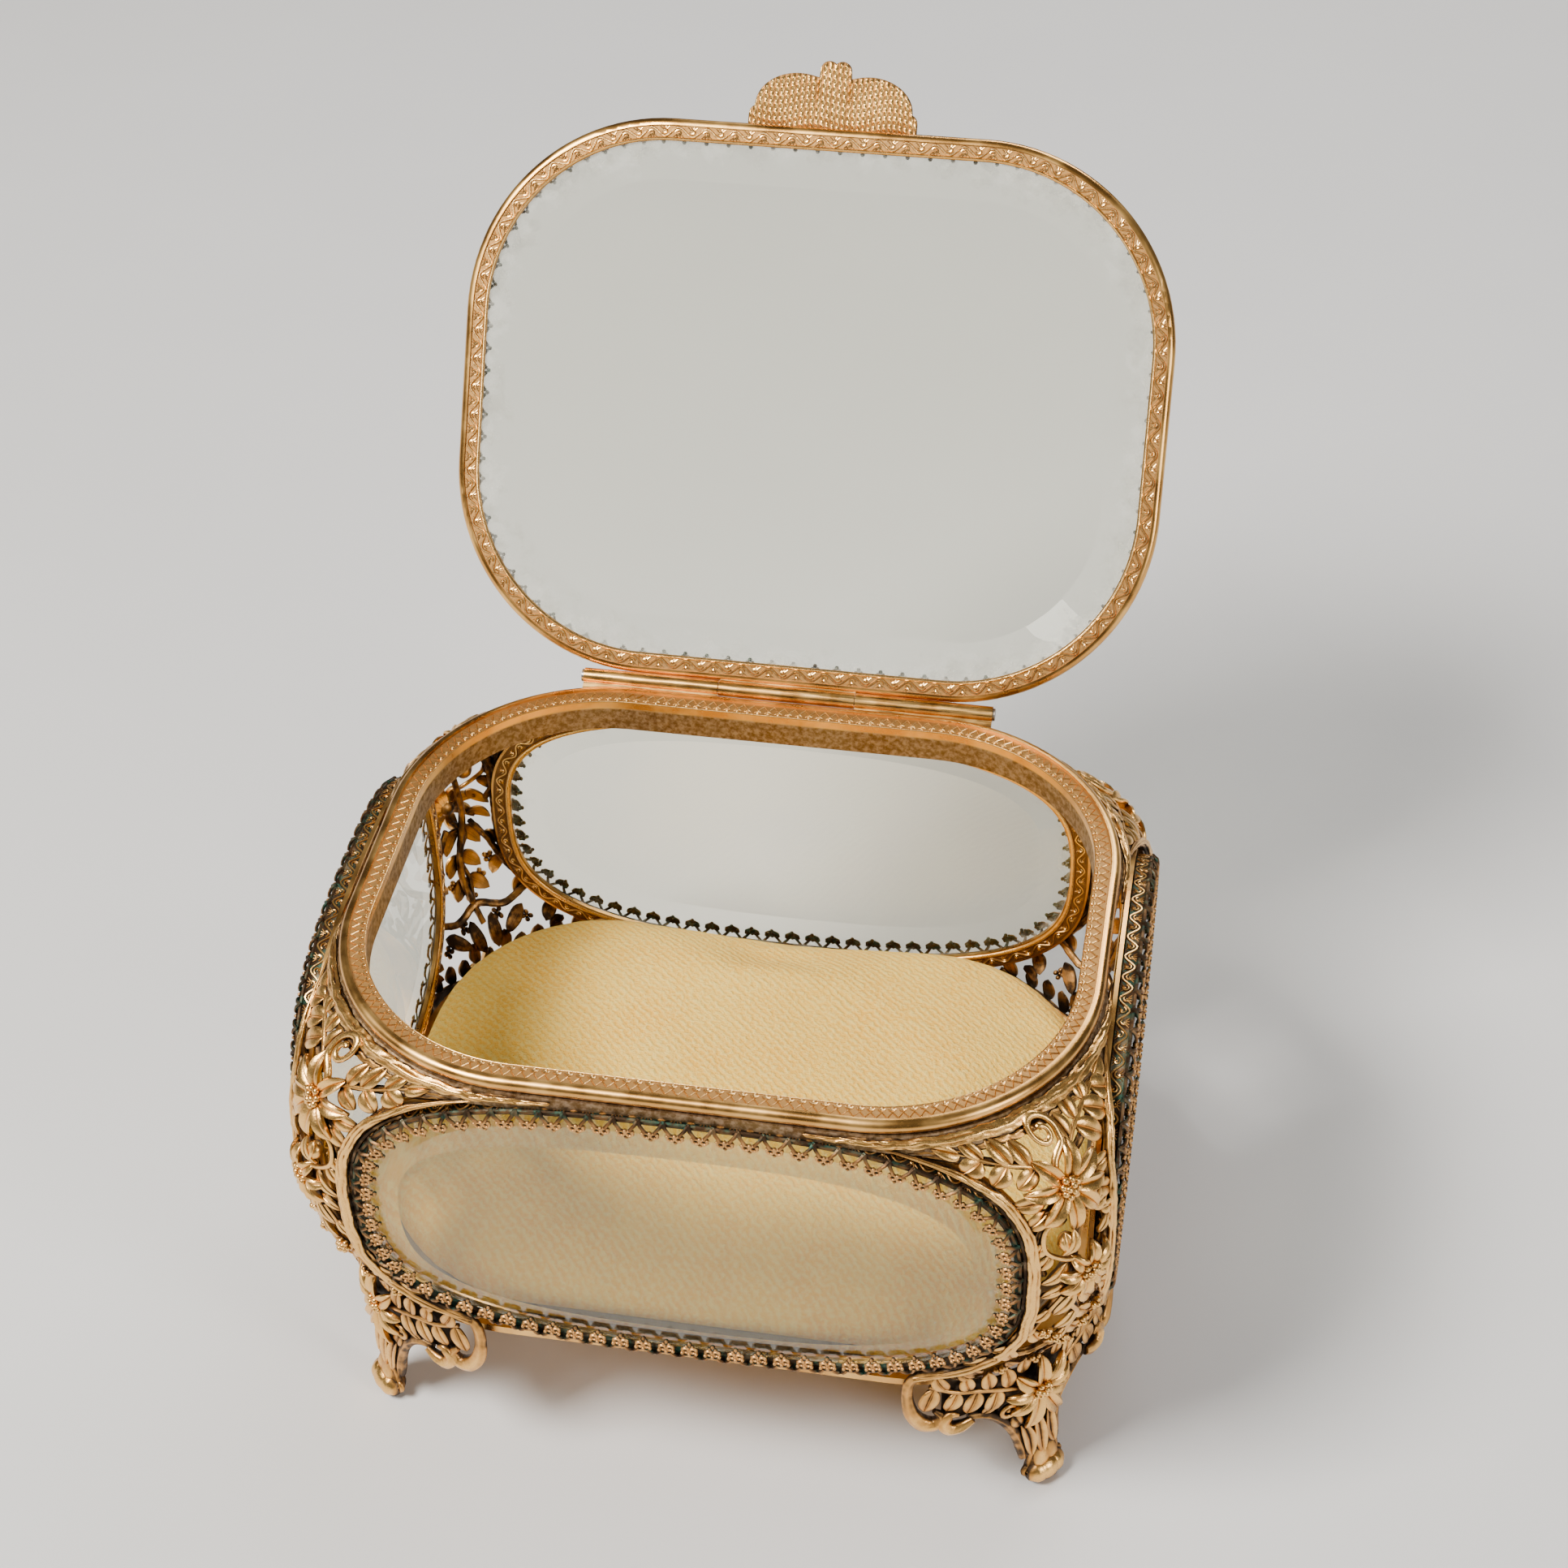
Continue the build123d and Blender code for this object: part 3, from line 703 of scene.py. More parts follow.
def gilt_aged_and_shaded(name, low, high, by_height, recess, body, crest, dusting=0.5, spots=None,
              gloss=0.27):
    """Antiqued gilt: bright crests and dark recesses, partly rubbed gilt and brown patina and
    partly painted highlight and painted shade, and a grain left by the mould.

    A point is as bright as its height between low and high says, and as its open sky
    says, which paints shade into hollows; by_height is the share of the first.  gloss is the
    roughness of a crest.
    """
    n = Nodes(name)
    n.set(Metallic=1.0)
    height = n.new("ShaderNodeAttribute", attribute_name="relief").outputs["Fac"]
    patches = n.noise(3.2, 5.0)
    grain = n.noise(0.28, 4.0, 0.7)
    # ambient occlusion darkens hollows that see little sky: painted shade
    hollow = n.new("ShaderNodeAmbientOcclusion", samples=6, only_local=False)
    hollow.inputs["Distance"].default_value = 3.0 * MM
    open_sky = n.span(hollow.outputs["AO"], 0.35, 0.95)
    level = n.math("ADD", n.span(height, low, high, 0.0, by_height),
                   n.math("MULTIPLY", open_sky, 1.0 - by_height))
    level = n.math("ADD", level, n.span(patches, 0.3, 0.7, -0.13, 0.13), clamp=True)
    if spots is not None:
        # dark green patches in the recesses
        green_patch_mask = n.span(n.noise(1.6, 4.0), 0.45, 0.60)
        recess = n.mix(green_patch_mask, recess, spots)
    tone = n.mix(n.span(level, 0.30, 0.62), recess, body)
    tone = n.mix(n.span(level, 0.60, 0.95), tone, crest)
    dust = n.math("MULTIPLY", n.span(patches, 0.50, 0.68), n.span(level, 0.60, 0.25))
    tone = n.mix(n.math("MULTIPLY", dust, dusting), tone, PATINA_GREY)
    rough = n.math("ADD", n.span(level, 0.1, 0.9, 0.55, gloss), n.span(grain, 0.4, 0.75, 0, 0.1))
    dents = n.noise(0.9, 3.0)
    return n.finish(tone, rough, n.bump(dents, 0.5, 0.12, n.bump(grain, 0.35, 0.06)))


def gilt_tube():
    """Drawn hinge tube: fine lines along its length and brown handling marks."""
    n = Nodes("gilt_tube")
    n.set(Metallic=1.0)
    lines = n.noise(0.4, 3.0, vector=n.stretched((0.05, 1.0, 1.0)))
    marks = n.noise(4.0, 5.0)
    tone = n.mix(n.span(marks, 0.38, 0.66), GOLD_BRIGHT, GOLD_WARM)
    tone = n.mix(n.span(marks, 0.64, 0.78, 0.0, 0.6), tone, PATINA_BROWN)
    return n.finish(tone, n.span(lines, 0.3, 0.7, 0.2, 0.36), n.bump(lines, 0.3, 0.03))


def marked_metal(name, marks, dulls, clean, worn, rough, relief):
    """Plain metal with marks: clean where their noise is low and worn where it is high."""
    n = Nodes(name)
    n.set(Metallic=1.0)
    marks = n.noise(*marks)
    tone = n.mix(n.span(marks, *dulls), clean, worn)
    return n.finish(tone, n.span(marks, 0.3, 0.7, *rough), n.bump(marks, *relief))


def glass(name, axes, half_width, half_height, order):
    """Old clear glass, faintly yellow-green, with dust and haze that thicken at its edge."""
    n = Nodes(name)
    n.set(Transmission_Weight=1.0, IOR=1.5)
    origin, right, normal = (Vector(axis) for axis in axes)
    local = n.new("ShaderNodeMapping", vector_type="TEXTURE")
    n.fill(local, {
        "Vector": n.coordinates,
        "Location": origin * MM,
        "Rotation": Matrix((right, normal.cross(right), normal)).transposed().to_euler(),
    })
    parts = n.new("ShaderNodeSeparateXYZ")
    n.link(local.outputs[0], parts.inputs[0])
    powers = []
    for axis, half in (("X", half_width), ("Y", half_height)):
        share = n.math("DIVIDE", n.math("ABSOLUTE", parts.outputs[axis]), half * MM)
        powers.append(n.math("POWER", share, order))
    outness = n.math("POWER", n.math("ADD", *powers), 1 / order)
    haze = n.noise(5.0, 6.0, 0.65)
    specks = n.noise(0.5, 2.0)
    ragged = n.math("ADD", outness, n.span(haze, 0.3, 0.75, -0.05, 0.07))
    film = n.span(ragged, 0.93, 1.03, 0.0, 0.28)
    dust = n.span(specks, 0.78, 0.81, 0.0, 0.35)
    veil = n.math("MAXIMUM", film, dust)
    n.link(n.math("SUBTRACT", 1.0, veil), n.shader.inputs["Transmission Weight"])
    tone = n.mix(veil, rgb(0.965, 0.968, 0.860), rgb(0.72, 0.70, 0.62))
    return n.finish(tone, n.span(veil, 0.0, 0.5, 0.0, 0.35))


def velvet():
    """Pale gold velvet: diagonal rows of pile with tufts, and a mottled nap."""
    n = Nodes("velvet")
    n.set(Roughness=0.92, Sheen_Weight=0.14, Sheen_Roughness=0.4)
    n.set(Sheen_Tint=rgb(1.0, 0.80, 0.42), Specular_IOR_Level=0.08)
    nap = n.noise(14.0, 5.0, 0.6)
    tuft = n.noise(0.9, 3.0, 0.6)
    rows = n.new("ShaderNodeTexWave", wave_type="BANDS", bands_direction="X")
    wander = n.new("ShaderNodeVectorMath", operation="MULTIPLY_ADD")
    drift = n.new("ShaderNodeTexNoise")
    n.fill(drift, {"Vector": n.coordinates, "Scale": 1 / (1.6 * MM), "Detail": 2.0})
    n.fill(wander, {0: drift.outputs["Color"], 1: (1.5 * MM,) * 3, 2: n.stretched(
        (1, 1, 1), (0, 0, radians(-47)))})
    n.fill(rows, {
        "Vector": wander.outputs[0],
        "Scale": WAVE_BAND / (VELVET_PITCH * MM),
    })
    pile = n.math("MULTIPLY_ADD", rows.outputs["Fac"], 0.20, tuft)
    tone = n.mix(n.span(nap, 0.30, 0.70), rgb(0.98, 0.52, 0.062), rgb(1.0, 0.60, 0.095))
    # the raised pile is painted lighter: partly the pile's own paler tips, partly painted highlight
    tone = n.mix(n.span(pile, 0.45, 0.80, 0.0, 0.8), tone, rgb(1.0, 0.73, 0.20))
    return n.finish(tone, normal=n.bump(pile, 1.0, 0.45))


def grey_board():
    """The stiff board under the cushion."""
    n = Nodes("grey_board")
    n.set(Roughness=0.9)
    fibre = n.noise(1.5, 6.0, 0.7)
    tone = n.mix(fibre, rgb(0.26, 0.20, 0.13), rgb(0.40, 0.32, 0.22))
    return n.finish(tone, normal=n.bump(fibre, 0.4, 0.1))


GILT = gilt_polished("gilt_polished")
RIM_GILT = gilt_polished("gilt_rim", RIM_TOP - 2.0)
CAST = gilt_aged_and_shaded("gilt_cast", -0.5, 1.3, 0.55, PATINA_BROWN, GOLD_WARM, GOLD_BRIGHT)
CHASED = gilt_aged_and_shaded("gilt_chased", 0.0, 0.24, 0.72, rgb(0.26, 0.13, 0.042), GOLD_WARM,
                   rgb(0.98, 0.61, 0.20), 0.2)
LEDGE = gilt_aged_and_shaded("gilt_ledge", 0.0, 0.16, 0.8, rgb(0.50, 0.27, 0.085), rgb(0.64, 0.35, 0.105),
                  rgb(0.96, 0.60, 0.22), 0.15)
FOOT = gilt_aged_and_shaded("gilt_foot", -0.2, 2.2, 0.65, PATINA_BROWN, GOLD_WARM, GOLD_BRIGHT)
PRONG = gilt_aged_and_shaded("gilt_prong", -0.45, 0.75, 0.6, PATINA_BROWN, rgb(0.24, 0.115, 0.042),
                  rgb(0.66, 0.35, 0.12), 0.3, RECESS_GREEN, 0.44)
TUBE = gilt_tube()
# lightly tarnished steel wire, and the pale solder left where the hinge was joined
STEEL = marked_metal("pin_steel", (1.2, 4.0), (0.4, 0.7), rgb(0.62, 0.60, 0.57),
                     rgb(0.34, 0.27, 0.2), (0.25, 0.45), (0.3, 0.04))
SOLDER = marked_metal("solder", (0.8, 5.0, 0.65), (0.35, 0.65), rgb(0.62, 0.50, 0.37),
                      rgb(0.72, 0.66, 0.57), (0.38, 0.6), (0.6, 0.15))
VELVET = velvet()
BOARD = grey_board()


# ---------------------------------------------------------------- corner castings
def window_edge(z, half_width, offset, front=True):
    """Where the body's surface meets a line that runs offset outside a window."""
    z = np.asarray(z, float)
    height = WINDOW_HALF_HEIGHT + offset
    share = 1 - np.minimum(np.abs(z - WINDOW_Z) / height, 1) ** OVAL_ORDER
    edge = (half_width + offset) * share ** (1 / OVAL_ORDER)
    width, depth, corner = smooth_sections(np.atleast_1d(RIM_TOP - z)).T
    straight = (width if front else depth) / 2 - corner
    beyond = np.clip((edge - straight) / corner, 0, 0.99)
    u = np.where(edge < straight, edge - straight, corner * np.arcsin(beyond)) - corner * pi / 4
    return u if front else -u


def fluted(station, turns):
    """The section of a cast scroll: round, with two soft hollows along its top."""
    return 1 - 0.16 * np.exp(-((np.mod(turns, tau) - 1.1) / 0.28) ** 2) - 0.16 * np.exp(
        -((np.mod(turns, tau) - 2.04) / 0.28) ** 2)


def mirrored(*lines):
    """Each line twice: mirrored to the front's side, then as it is given."""
    return [[(hand * u, v) for u, v in line] for line in lines for hand in (-1, 1)]


def corner_drawing():
    """One corner casting, the same at all four corners but for its mirroring."""
    r = Relief()
    # bark branches beside the front and the side collar, from their tips to the foot
    for front, half_width, seed in ((True, FRONT_HALF_WIDTH, 0.0), (False, SIDE_HALF_WIDTH, 9.0)):
        z = np.concatenate([np.linspace(102.4, 92, 22), np.linspace(91, 50, 50)])
        u = window_edge(z, half_width, 2.0, front)
        r.branch(list(zip(u, z)), [0.25, 0.8, 0.95, 1.0, 1.05, 1.1, 1.15, 1.1], 0.35, seed=seed)
        # a thin rod sunk beside the collar and darkened: painted shade in the groove between collar
        # and branch
        z = np.linspace(104.0, 43.5, 60)
        u = window_edge(z[8:], half_width, 0.55, front)
        r.tube([(a, b, -0.6) for a, b in zip(u, z[8:])], [0.5], [0.5], sides=6, shade_and_wear=-1.0)
    # thin branches behind the flowers and leaves
    spread = mirrored(((3, 96), (12, 99.4), (22, 101.4)), ((1, 92), (7.5, 84), (8.9, 72)))
    spread += [
        ((0, 84), (-1.4, 70), (1.4, 56), (0, 44)),
        ((-3, 68), (-6.4, 62), (-8.8, 56), (-12.6, 50), (-15.8, 46.4)),
        ((3, 68), (6.4, 62), (8.8, 56), (10.8, 50), (12.8, 46.4)),
        ((-12.4, 50), (-6, 46.6), (0, 48.4), (6, 46.6), (12.4, 50)),
    ]
    spread += mirrored(((2, 90), (7, 86), (9.4, 79.4), (7, 73.4)))
    for seed, points in enumerate(spread):
        r.branch(curve_through(points, 12), [0.6, 0.75, 0.6], -0.55, 14, seed)
    # the branch that runs under the rim's bead, thin at both of its ends
    under = [(u, 103.5 + 0.25 * jitter(u * 0.15, 2.0)) for u in np.linspace(-40, 36, 120)]
    r.branch(under, [0.3, 0.75, 0.85, 0.9, 0.85, 0.75, 0.3], 0.25, 24, 3.0)
    lower = [(u, 101.9 + 0.35 * jitter(u * 0.2, 5.0)) for u in np.linspace(-24, 22, 80)]
    r.branch(lower, [0.2, 0.5, 0.62, 0.5, 0.2], -0.1, 18, 7.0)
    # the main flower on the shoulder
    r.flower(-0.8, 92.0, (
        (66, 7.2, 3.0), (22, 7.4, 3.1), (-18, 7.8, 3.0), (-54, 7.8, 3.0),
        (-93, 8.2, 3.1), (-134, 7.8, 3.0), (176, 7.4, 2.9), (128, 6.8, 2.9),
    ), 8, 0.72, 1.1)
    # the tendril between the two sprigs
    r.spiral(-0.9, 101.0, 2.75, 1.4, radians(-30), ((-2.6, 94.5), (-1.4, 96.9), (1.1, 98.6)),
             0.55, lift=0.9)
    # sprig along the front spandrel
    r.sprig(((-2.5, 95.5), (-6.0, 97.2), (-10.0, 98.6), (-14.2, 100.6), (-16.6, 101.6)), (
        ((-5.8, 97.2), (-6.6, 101.8), 2.6),
        ((-8.6, 98.2), (-9.8, 102.8), 2.8),
        ((-12.6, 99.9), (-14.2, 103.6), 2.5),
        ((-15.6, 101.2), (-19.6, 102.6), 2.5),
        ((-13.0, 99.8), (-17.6, 98.0), 2.8),
        ((-9.4, 98.3), (-13.6, 95.2), 2.9),
        ((-5.0, 96.6), (-9.4, 93.9), 2.8),
    ))
    # sprig along the side spandrel
    r.sprig(((1.0, 95.5), (3.6, 98.3), (7.4, 100.1), (11.6, 101.2), (15.6, 102.0)), (
        ((3.4, 98.2), (2.9, 102.6), 2.6),
        ((6.4, 99.8), (6.8, 103.8), 2.6),
        ((10.2, 100.9), (11.0, 104.0), 2.5),
        ((15.0, 101.9), (19.4, 102.9), 2.6),
        ((13.0, 101.5), (17.2, 98.9), 2.8),
        ((9.0, 100.6), (13.8, 97.2), 2.9),
        ((5.6, 99.4), (10.4, 95.0), 2.9),
    ))
    # leaves between the flower and the branches
    r.leaves((
        ((-4.8, 91.0), (-11.4, 90.6), 2.9), ((-5.0, 88.6), (-9.8, 85.6), 2.8),
        ((4.4, 91.4), (10.6, 91.0), 2.9), ((4.6, 88.4), (9.8, 85.2), 2.8),
        ((-2.2, 85.4), (-6.6, 88.2), 2.5), ((2.4, 85.0), (6.4, 88.2), 2.5),
    ), (0.0, 0.5, 0.2))
    # the bud and its S stems
    r.stem(((-1.6, 88.0), (-6.4, 85.2), (-7.0, 80.6), (-3.8, 77.6), (-0.6, 76.4)), 0.45, 0.5, 0.5)
    r.stem(((1.4, 88.0), (4.2, 84.4), (7.2, 82.6), (8.0, 79.2)), 0.42, 0.34, 0.4)
    r.bead(-3.0, 81.6, 0.7, 1.95, 0.95, 10)
    r.blade((-2.0, 84.4), (-4.4, 79.6), 1.5, (1.8, 2.5, 1.7), "leaf", 0.7)
    r.blade((-3.6, 84.2), (-1.4, 79.4), 1.5, (1.6, 2.3, 1.5), "leaf", -0.7)
    for root, tip, width in (
        ((3.2, 85.2), (7.6, 85.0), 2.1), ((5.4, 83.2), (9.6, 81.6), 2.2),
        ((7.4, 81.2), (4.2, 78.6), 2.2), ((7.9, 79.6), (9.4, 76.0), 2.2),
        ((-6.8, 82.0), (-9.2, 79.0), 2.1), ((-5.8, 79.0), (-8.6, 75.6), 2.2),
    ):
        r.blade(root, tip, width, (0.2, 0.6, 0.3), "leaf", 0.3 * jitter(*root))
    # the lower flower
    r.flower(1.2, 72.4, (
        (80, 5.8, 2.6), (35, 5.8, 2.6), (-10, 6.0, 2.6), (-55, 6.2, 2.6),
        (-100, 6.6, 2.7), (-145, 6.2, 2.6), (168, 5.8, 2.6), (125, 5.6, 2.5),
    ), 7, 0.68, 1.0)
    r.blade((-3.0, 76.0), (-7.6, 71.6), 2.0, (0.3, 0.8, 0.3), "leaf", 0.5)
    r.blade((-2.6, 70.0), (-7.6, 67.8), 2.0, (0.2, 0.6, 0.2), "leaf", -0.4)
    # hanging leaves and bead clusters down to the foot
    r.stem(((1.0, 69.0), (-1.6, 64.4), (0.6, 59.4), (-0.4, 54.0), (0.4, 48.0)), 0.6, 0.55, 0.2)
    r.stem(((-3.4, 67.0), (-6.4, 62.0), (-8.6, 56.0), (-12.6, 50.0)), 0.5, 0.4, 0.1)
    r.stem(((4.4, 68.0), (6.8, 62.0), (8.8, 56.0), (12.8, 50.0)), 0.5, 0.4, 0.1)
    r.leaves((
        ((-0.6, 66.6), (-4.6, 61.6), 2.8), ((0.2, 66.6), (3.8, 61.4), 2.8),
        ((0.2, 60.4), (-3.6, 56.2), 2.8), ((0.4, 60.2), (4.2, 56.0), 2.8),
        ((-5.4, 63.8), (-8.4, 60.6), 2.1), ((-7.4, 59.2), (-10.6, 57.2), 2.2),
        ((-8.0, 57.4), (-5.4, 53.4), 2.4), ((-10.4, 53.2), (-14.2, 51.2), 2.4),
        ((5.8, 63.8), (8.6, 60.6), 2.1), ((7.6, 59.2), (10.8, 57.2), 2.2),
        ((8.2, 57.4), (5.6, 53.4), 2.4), ((10.6, 53.2), (14.4, 51.2), 2.4),
        ((-0.2, 54.6), (-4.0, 50.6), 2.8), ((0.2, 54.4), (4.0, 50.4), 2.8),
        ((-11.4, 51.6), (-9.0, 47.2), 2.5), ((11.6, 51.6), (9.2, 47.2), 2.5),
        ((-13.6, 49.0), (-18.0, 46.6), 2.5), ((13.8, 49.0), (18.2, 46.6), 2.5),
    ), (0.2, 0.65, 0.2))
    for u, v in ((-5.6, 57.0), (5.8, 57.0), (0.0, 49.6), (-3.0, 53.6), (3.4, 53.4)):
        r.berries(u, v, u, 0.85, 0.9, 0.62)
    return r


def ankle_lean(z):
    """The leg leans this far towards the side of the box at height z."""
    return 2.4 * np.clip((20.0 - z) / 15.0, 0, 1)


def foot_drawing():
    """One scroll foot: a flower, two leafy wings with C-scrolls, and the toe."""
    r = Relief()
    r.flower(0.3, 29.2, (
        (90, 8.6, 3.0), (50, 7.8, 3.0), (10, 7.0, 2.9), (-30, 7.4, 3.0),
        (-66, 11.0, 3.3), (-103, 10.6, 3.3), (-146, 7.2, 3.0), (172, 7.0, 2.9), (130, 7.8, 3.0),
    ), 8, 0.72, 1.3)
    # the plate behind the wings, from the arched lower edge to just over the stems, kept dark:
    # brown patina and painted shade behind the wings
    u = np.linspace(-19.4, 19.4, 98)
    lower = np.interp(np.abs(u), (0.0, 3.6, 6.0, 8.6, 11.4, 14.4, 18.0, 19.4),
                      (17.0, 17.6, 20.8, 24.6, 26.8, 27.0, 26.6, 28.6))
    upper = np.interp(np.abs(u), (0.0, 7.8, 12.5, 17.0, 19.4), (36.0, 35.6, 37.0, 38.2, 38.6))
    rows = np.linspace(0, 1, 12)[:, None]
    plate = np.zeros((len(rows), len(u), 3))
    plate[:, :, 0] = u
    plate[:, :, 1] = lower + rows * (upper - lower)
    plate[:, :, 2] = -0.85 + 0.15 * np.sin(plate[:, :, 0] * 1.3) * np.sin(plate[:, :, 1] * 1.1)
    r.slab(plate, plate - (0, 0, 0.45), -0.6)
    for hand in (-1, 1):

        def flip(*points):
            return tuple((hand * u, v) for u, v in points)

        stem = flip((2.6, 31.0), (7.8, 33.4), (12.5, 35.2), (17.0, 36.2), (21.9, 38.6))
        leaves = [
            (*flip(root, tip), width) for root, tip, width in (
                ((6.4, 33.4), (7.4, 39.6), 2.5), ((10.4, 34.8), (11.2, 40.4), 2.5),
                ((14.4, 35.8), (15.4, 40.6), 2.4), ((18.6, 37.0), (21.2, 41.8), 2.5),
                ((8.8, 33.8), (10.3, 27.8), 3.2), ((12.8, 35.2), (14.8, 29.2), 3.0),
                ((16.6, 36.0), (18.6, 30.8), 2.8), ((3.6, 36.0), (3.9, 41.6), 2.4),
                ((21.0, 37.8), (22.8, 31.2), 3.0),
            )
        ]
        r.sprig(stem, leaves, 0.6, 0.45, 0.5)
        # the C-scroll that ends the wing, and its second lobe towards the arch
        loop = flip((19.0, 44.0), (23.4, 42.8), (25.6, 39.2), (25.9, 34.6), (25.0, 30.0),
                    (22.9, 27.2), (20.6, 27.0), (19.6, 29.0), (20.9, 30.8))
        r.tube(curve_through([(u, v, 0.2) for u, v in loop], 7),
               [0.7, 0.9, 1.05, 1.15, 1.5, 1.75, 1.5, 1.0, 0.5],
               [0.7, 0.9, 1.0, 1.1, 1.4, 1.6, 1.4, 1.0, 0.5], 20, ridges=fluted)
        lobe = flip((13.6, 27.0), (15.8, 25.7), (18.0, 25.6), (19.2, 27.4), (17.9, 29.6),
                    (16.4, 29.2))
        r.tube(curve_through([(u, v, 0.6) for u, v in lobe], 6),
               [0.8, 1.3, 1.5, 1.3, 0.9, 0.45], sides=20, ridges=fluted)
        # the arched lower edge from the scroll down the side of the leg
        arch = flip((14.4, 27.1), (11.4, 26.6), (8.6, 24.4), (6.0, 20.6))
        arch += tuple((hand * out + ankle_lean(z), z) for out, z in (
            (4.6, 16.0), (4.1, 11.5), (4.0, 8.0)))
        r.tube(curve_through([(u, v, -0.2) for u, v in arch], 6),
               [0.8, 0.95, 1.0, 1.05, 1.15, 1.2, 0.9], sides=20, ridges=fluted)
        # the small ring and the leaves that fill the leg
        r.ring(hand * 6.4, 26.2, 0.7, 1.5, 0.52, 14, 8)
        r.bead(hand * 6.4, 26.2, 0.3, 0.75)
        for root, tip, width in (
            ((4.3, 40.7), (9.6, 45.2), 2.3), ((13.0, 41.0), (16.4, 45.0), 2.3),
            ((1.6, 38.4), (2.6, 45.4), 2.4), ((11.6, 27.2), (8.6, 31.2), 2.0),
            ((5.2, 23.6), (3.2, 19.0), 2.2), ((17.0, 41.6), (13.6, 39.0), 2.0),
        ):
            r.blade(*flip(root, tip), width, (0.2, 0.6, 0.2), "leaf", 0.3 * jitter(*tip))
        # the branch that carries the window's collar down to the wing
        z = np.linspace(50.0, 41.2, 12)
        u = window_edge(z, FRONT_HALF_WIDTH if hand < 0 else SIDE_HALF_WIDTH, 2.0, hand < 0)
        r.branch(list(zip(u, z)), [1.1, 1.1, 1.0, 0.8], 0.35, seed=4.0)
        for u, v in ((9.6, 42.6), (4.0, 44.6)):
            r.berries(hand * u, v, u, 0.8, 0.8, 0.58)
    toe(r)
    return r


def toe(r):
    """The acanthus toe: a fluted leg that ends in a lobed roll, with leaves above it."""
    # height over the floor, half width, half thickness and distance out from the leg
    stations = ((20.0, 5.0, 0.7, -0.9), (17.0, 4.4, 0.9, -0.9), (14.0, 3.9, 1.0, -0.9),
                (11.0, 3.5, 1.2, -0.7), (8.5, 3.3, 1.5, -0.3), (6.0, 3.5, 1.8, 0.4),
                (4.0, 3.6, 1.5, 0.9))
    line = [(ankle_lean(z), z, out) for z, _, _, out in stations]

    def flutes(station, turns):
        drift = 0.35 * sin(station * 0.16)
        return 0.84 + 0.20 * np.abs(np.sin(turns * 2.5 + drift)) ** 0.8

    r.tube(curve_through(line, 5), [half for _, half, _, _ in stations],
           [rise for _, _, rise, _ in stations], 54, ridges=flutes, shade_and_wear=-0.4)
    middle = ankle_lean(ROLL_RADIUS)
    across = np.linspace(-ROLL_REACH, ROLL_REACH, 41)
    roll = [(middle + u, ROLL_RADIUS + 0.12, 0.9) for u in across]

    def lobes(station, turns):
        share = station / (len(across) - 1)
        return np.full(len(turns), 0.90 + 0.10 * abs(sin(pi * ROLL_LOBES * share)) ** 0.6)

    # the roll's brightness follows its height and is lowered: painted highlight on its top and
    # painted shade on its sides
    r.tube(roll, [share * ROLL_RADIUS for share in (0.55, 0.88, 1, 1, 1, 0.88, 0.55)],
           sides=28, ridges=lobes, shade_and_wear=-0.9)
    for hand in (-1, 0, 1):
        root = (hand * 3.2 + 0.3, 20.4 - abs(hand))
        tip = (ankle_lean(8.0) + hand * 2.8, 7.6 + 1.4 * abs(hand))
        r.blade(root, tip, 2.9, (0.3, 0.9 - 0.2 * abs(hand), 1.2), "petal", -0.5 * hand, 0.8)
    for hand in (-1, 1):
        side = middle + hand * (ROLL_REACH - 0.6)
        r.spiral(side, 3.4, 1.3, 1.3, radians(90), ((side - hand * 0.9, 10.0),
                 (side - hand * 0.2, 6.6)), 0.5, -hand)


def corner_castings():
    """The four corner castings and the four feet."""
    corner = corner_drawing()
    foot = foot_drawing()
    for name, side, end in CORNERS:
        mirror = (side, -end)
        corner.build(f"corner_casting_{name}", on_corner, CAST, "case", mirror,
                     [f"corner_panel_{name}"])
        foot.build(f"scroll_foot_{name}", on_corner, FOOT, "case", mirror, [f"foot_{name}"])


# ---------------------------------------------------------------- prong galleries
def prong_height(inset):
    """How far a prong lies below the tip plane: it rises, then folds on the glass."""
    return -np.interp(
        inset, (0.0, 0.5, 1.2, 2.0, 3.0, 4.3), (1.5, 0.55, 0.25, 0.30, 0.62, 1.05)
    )


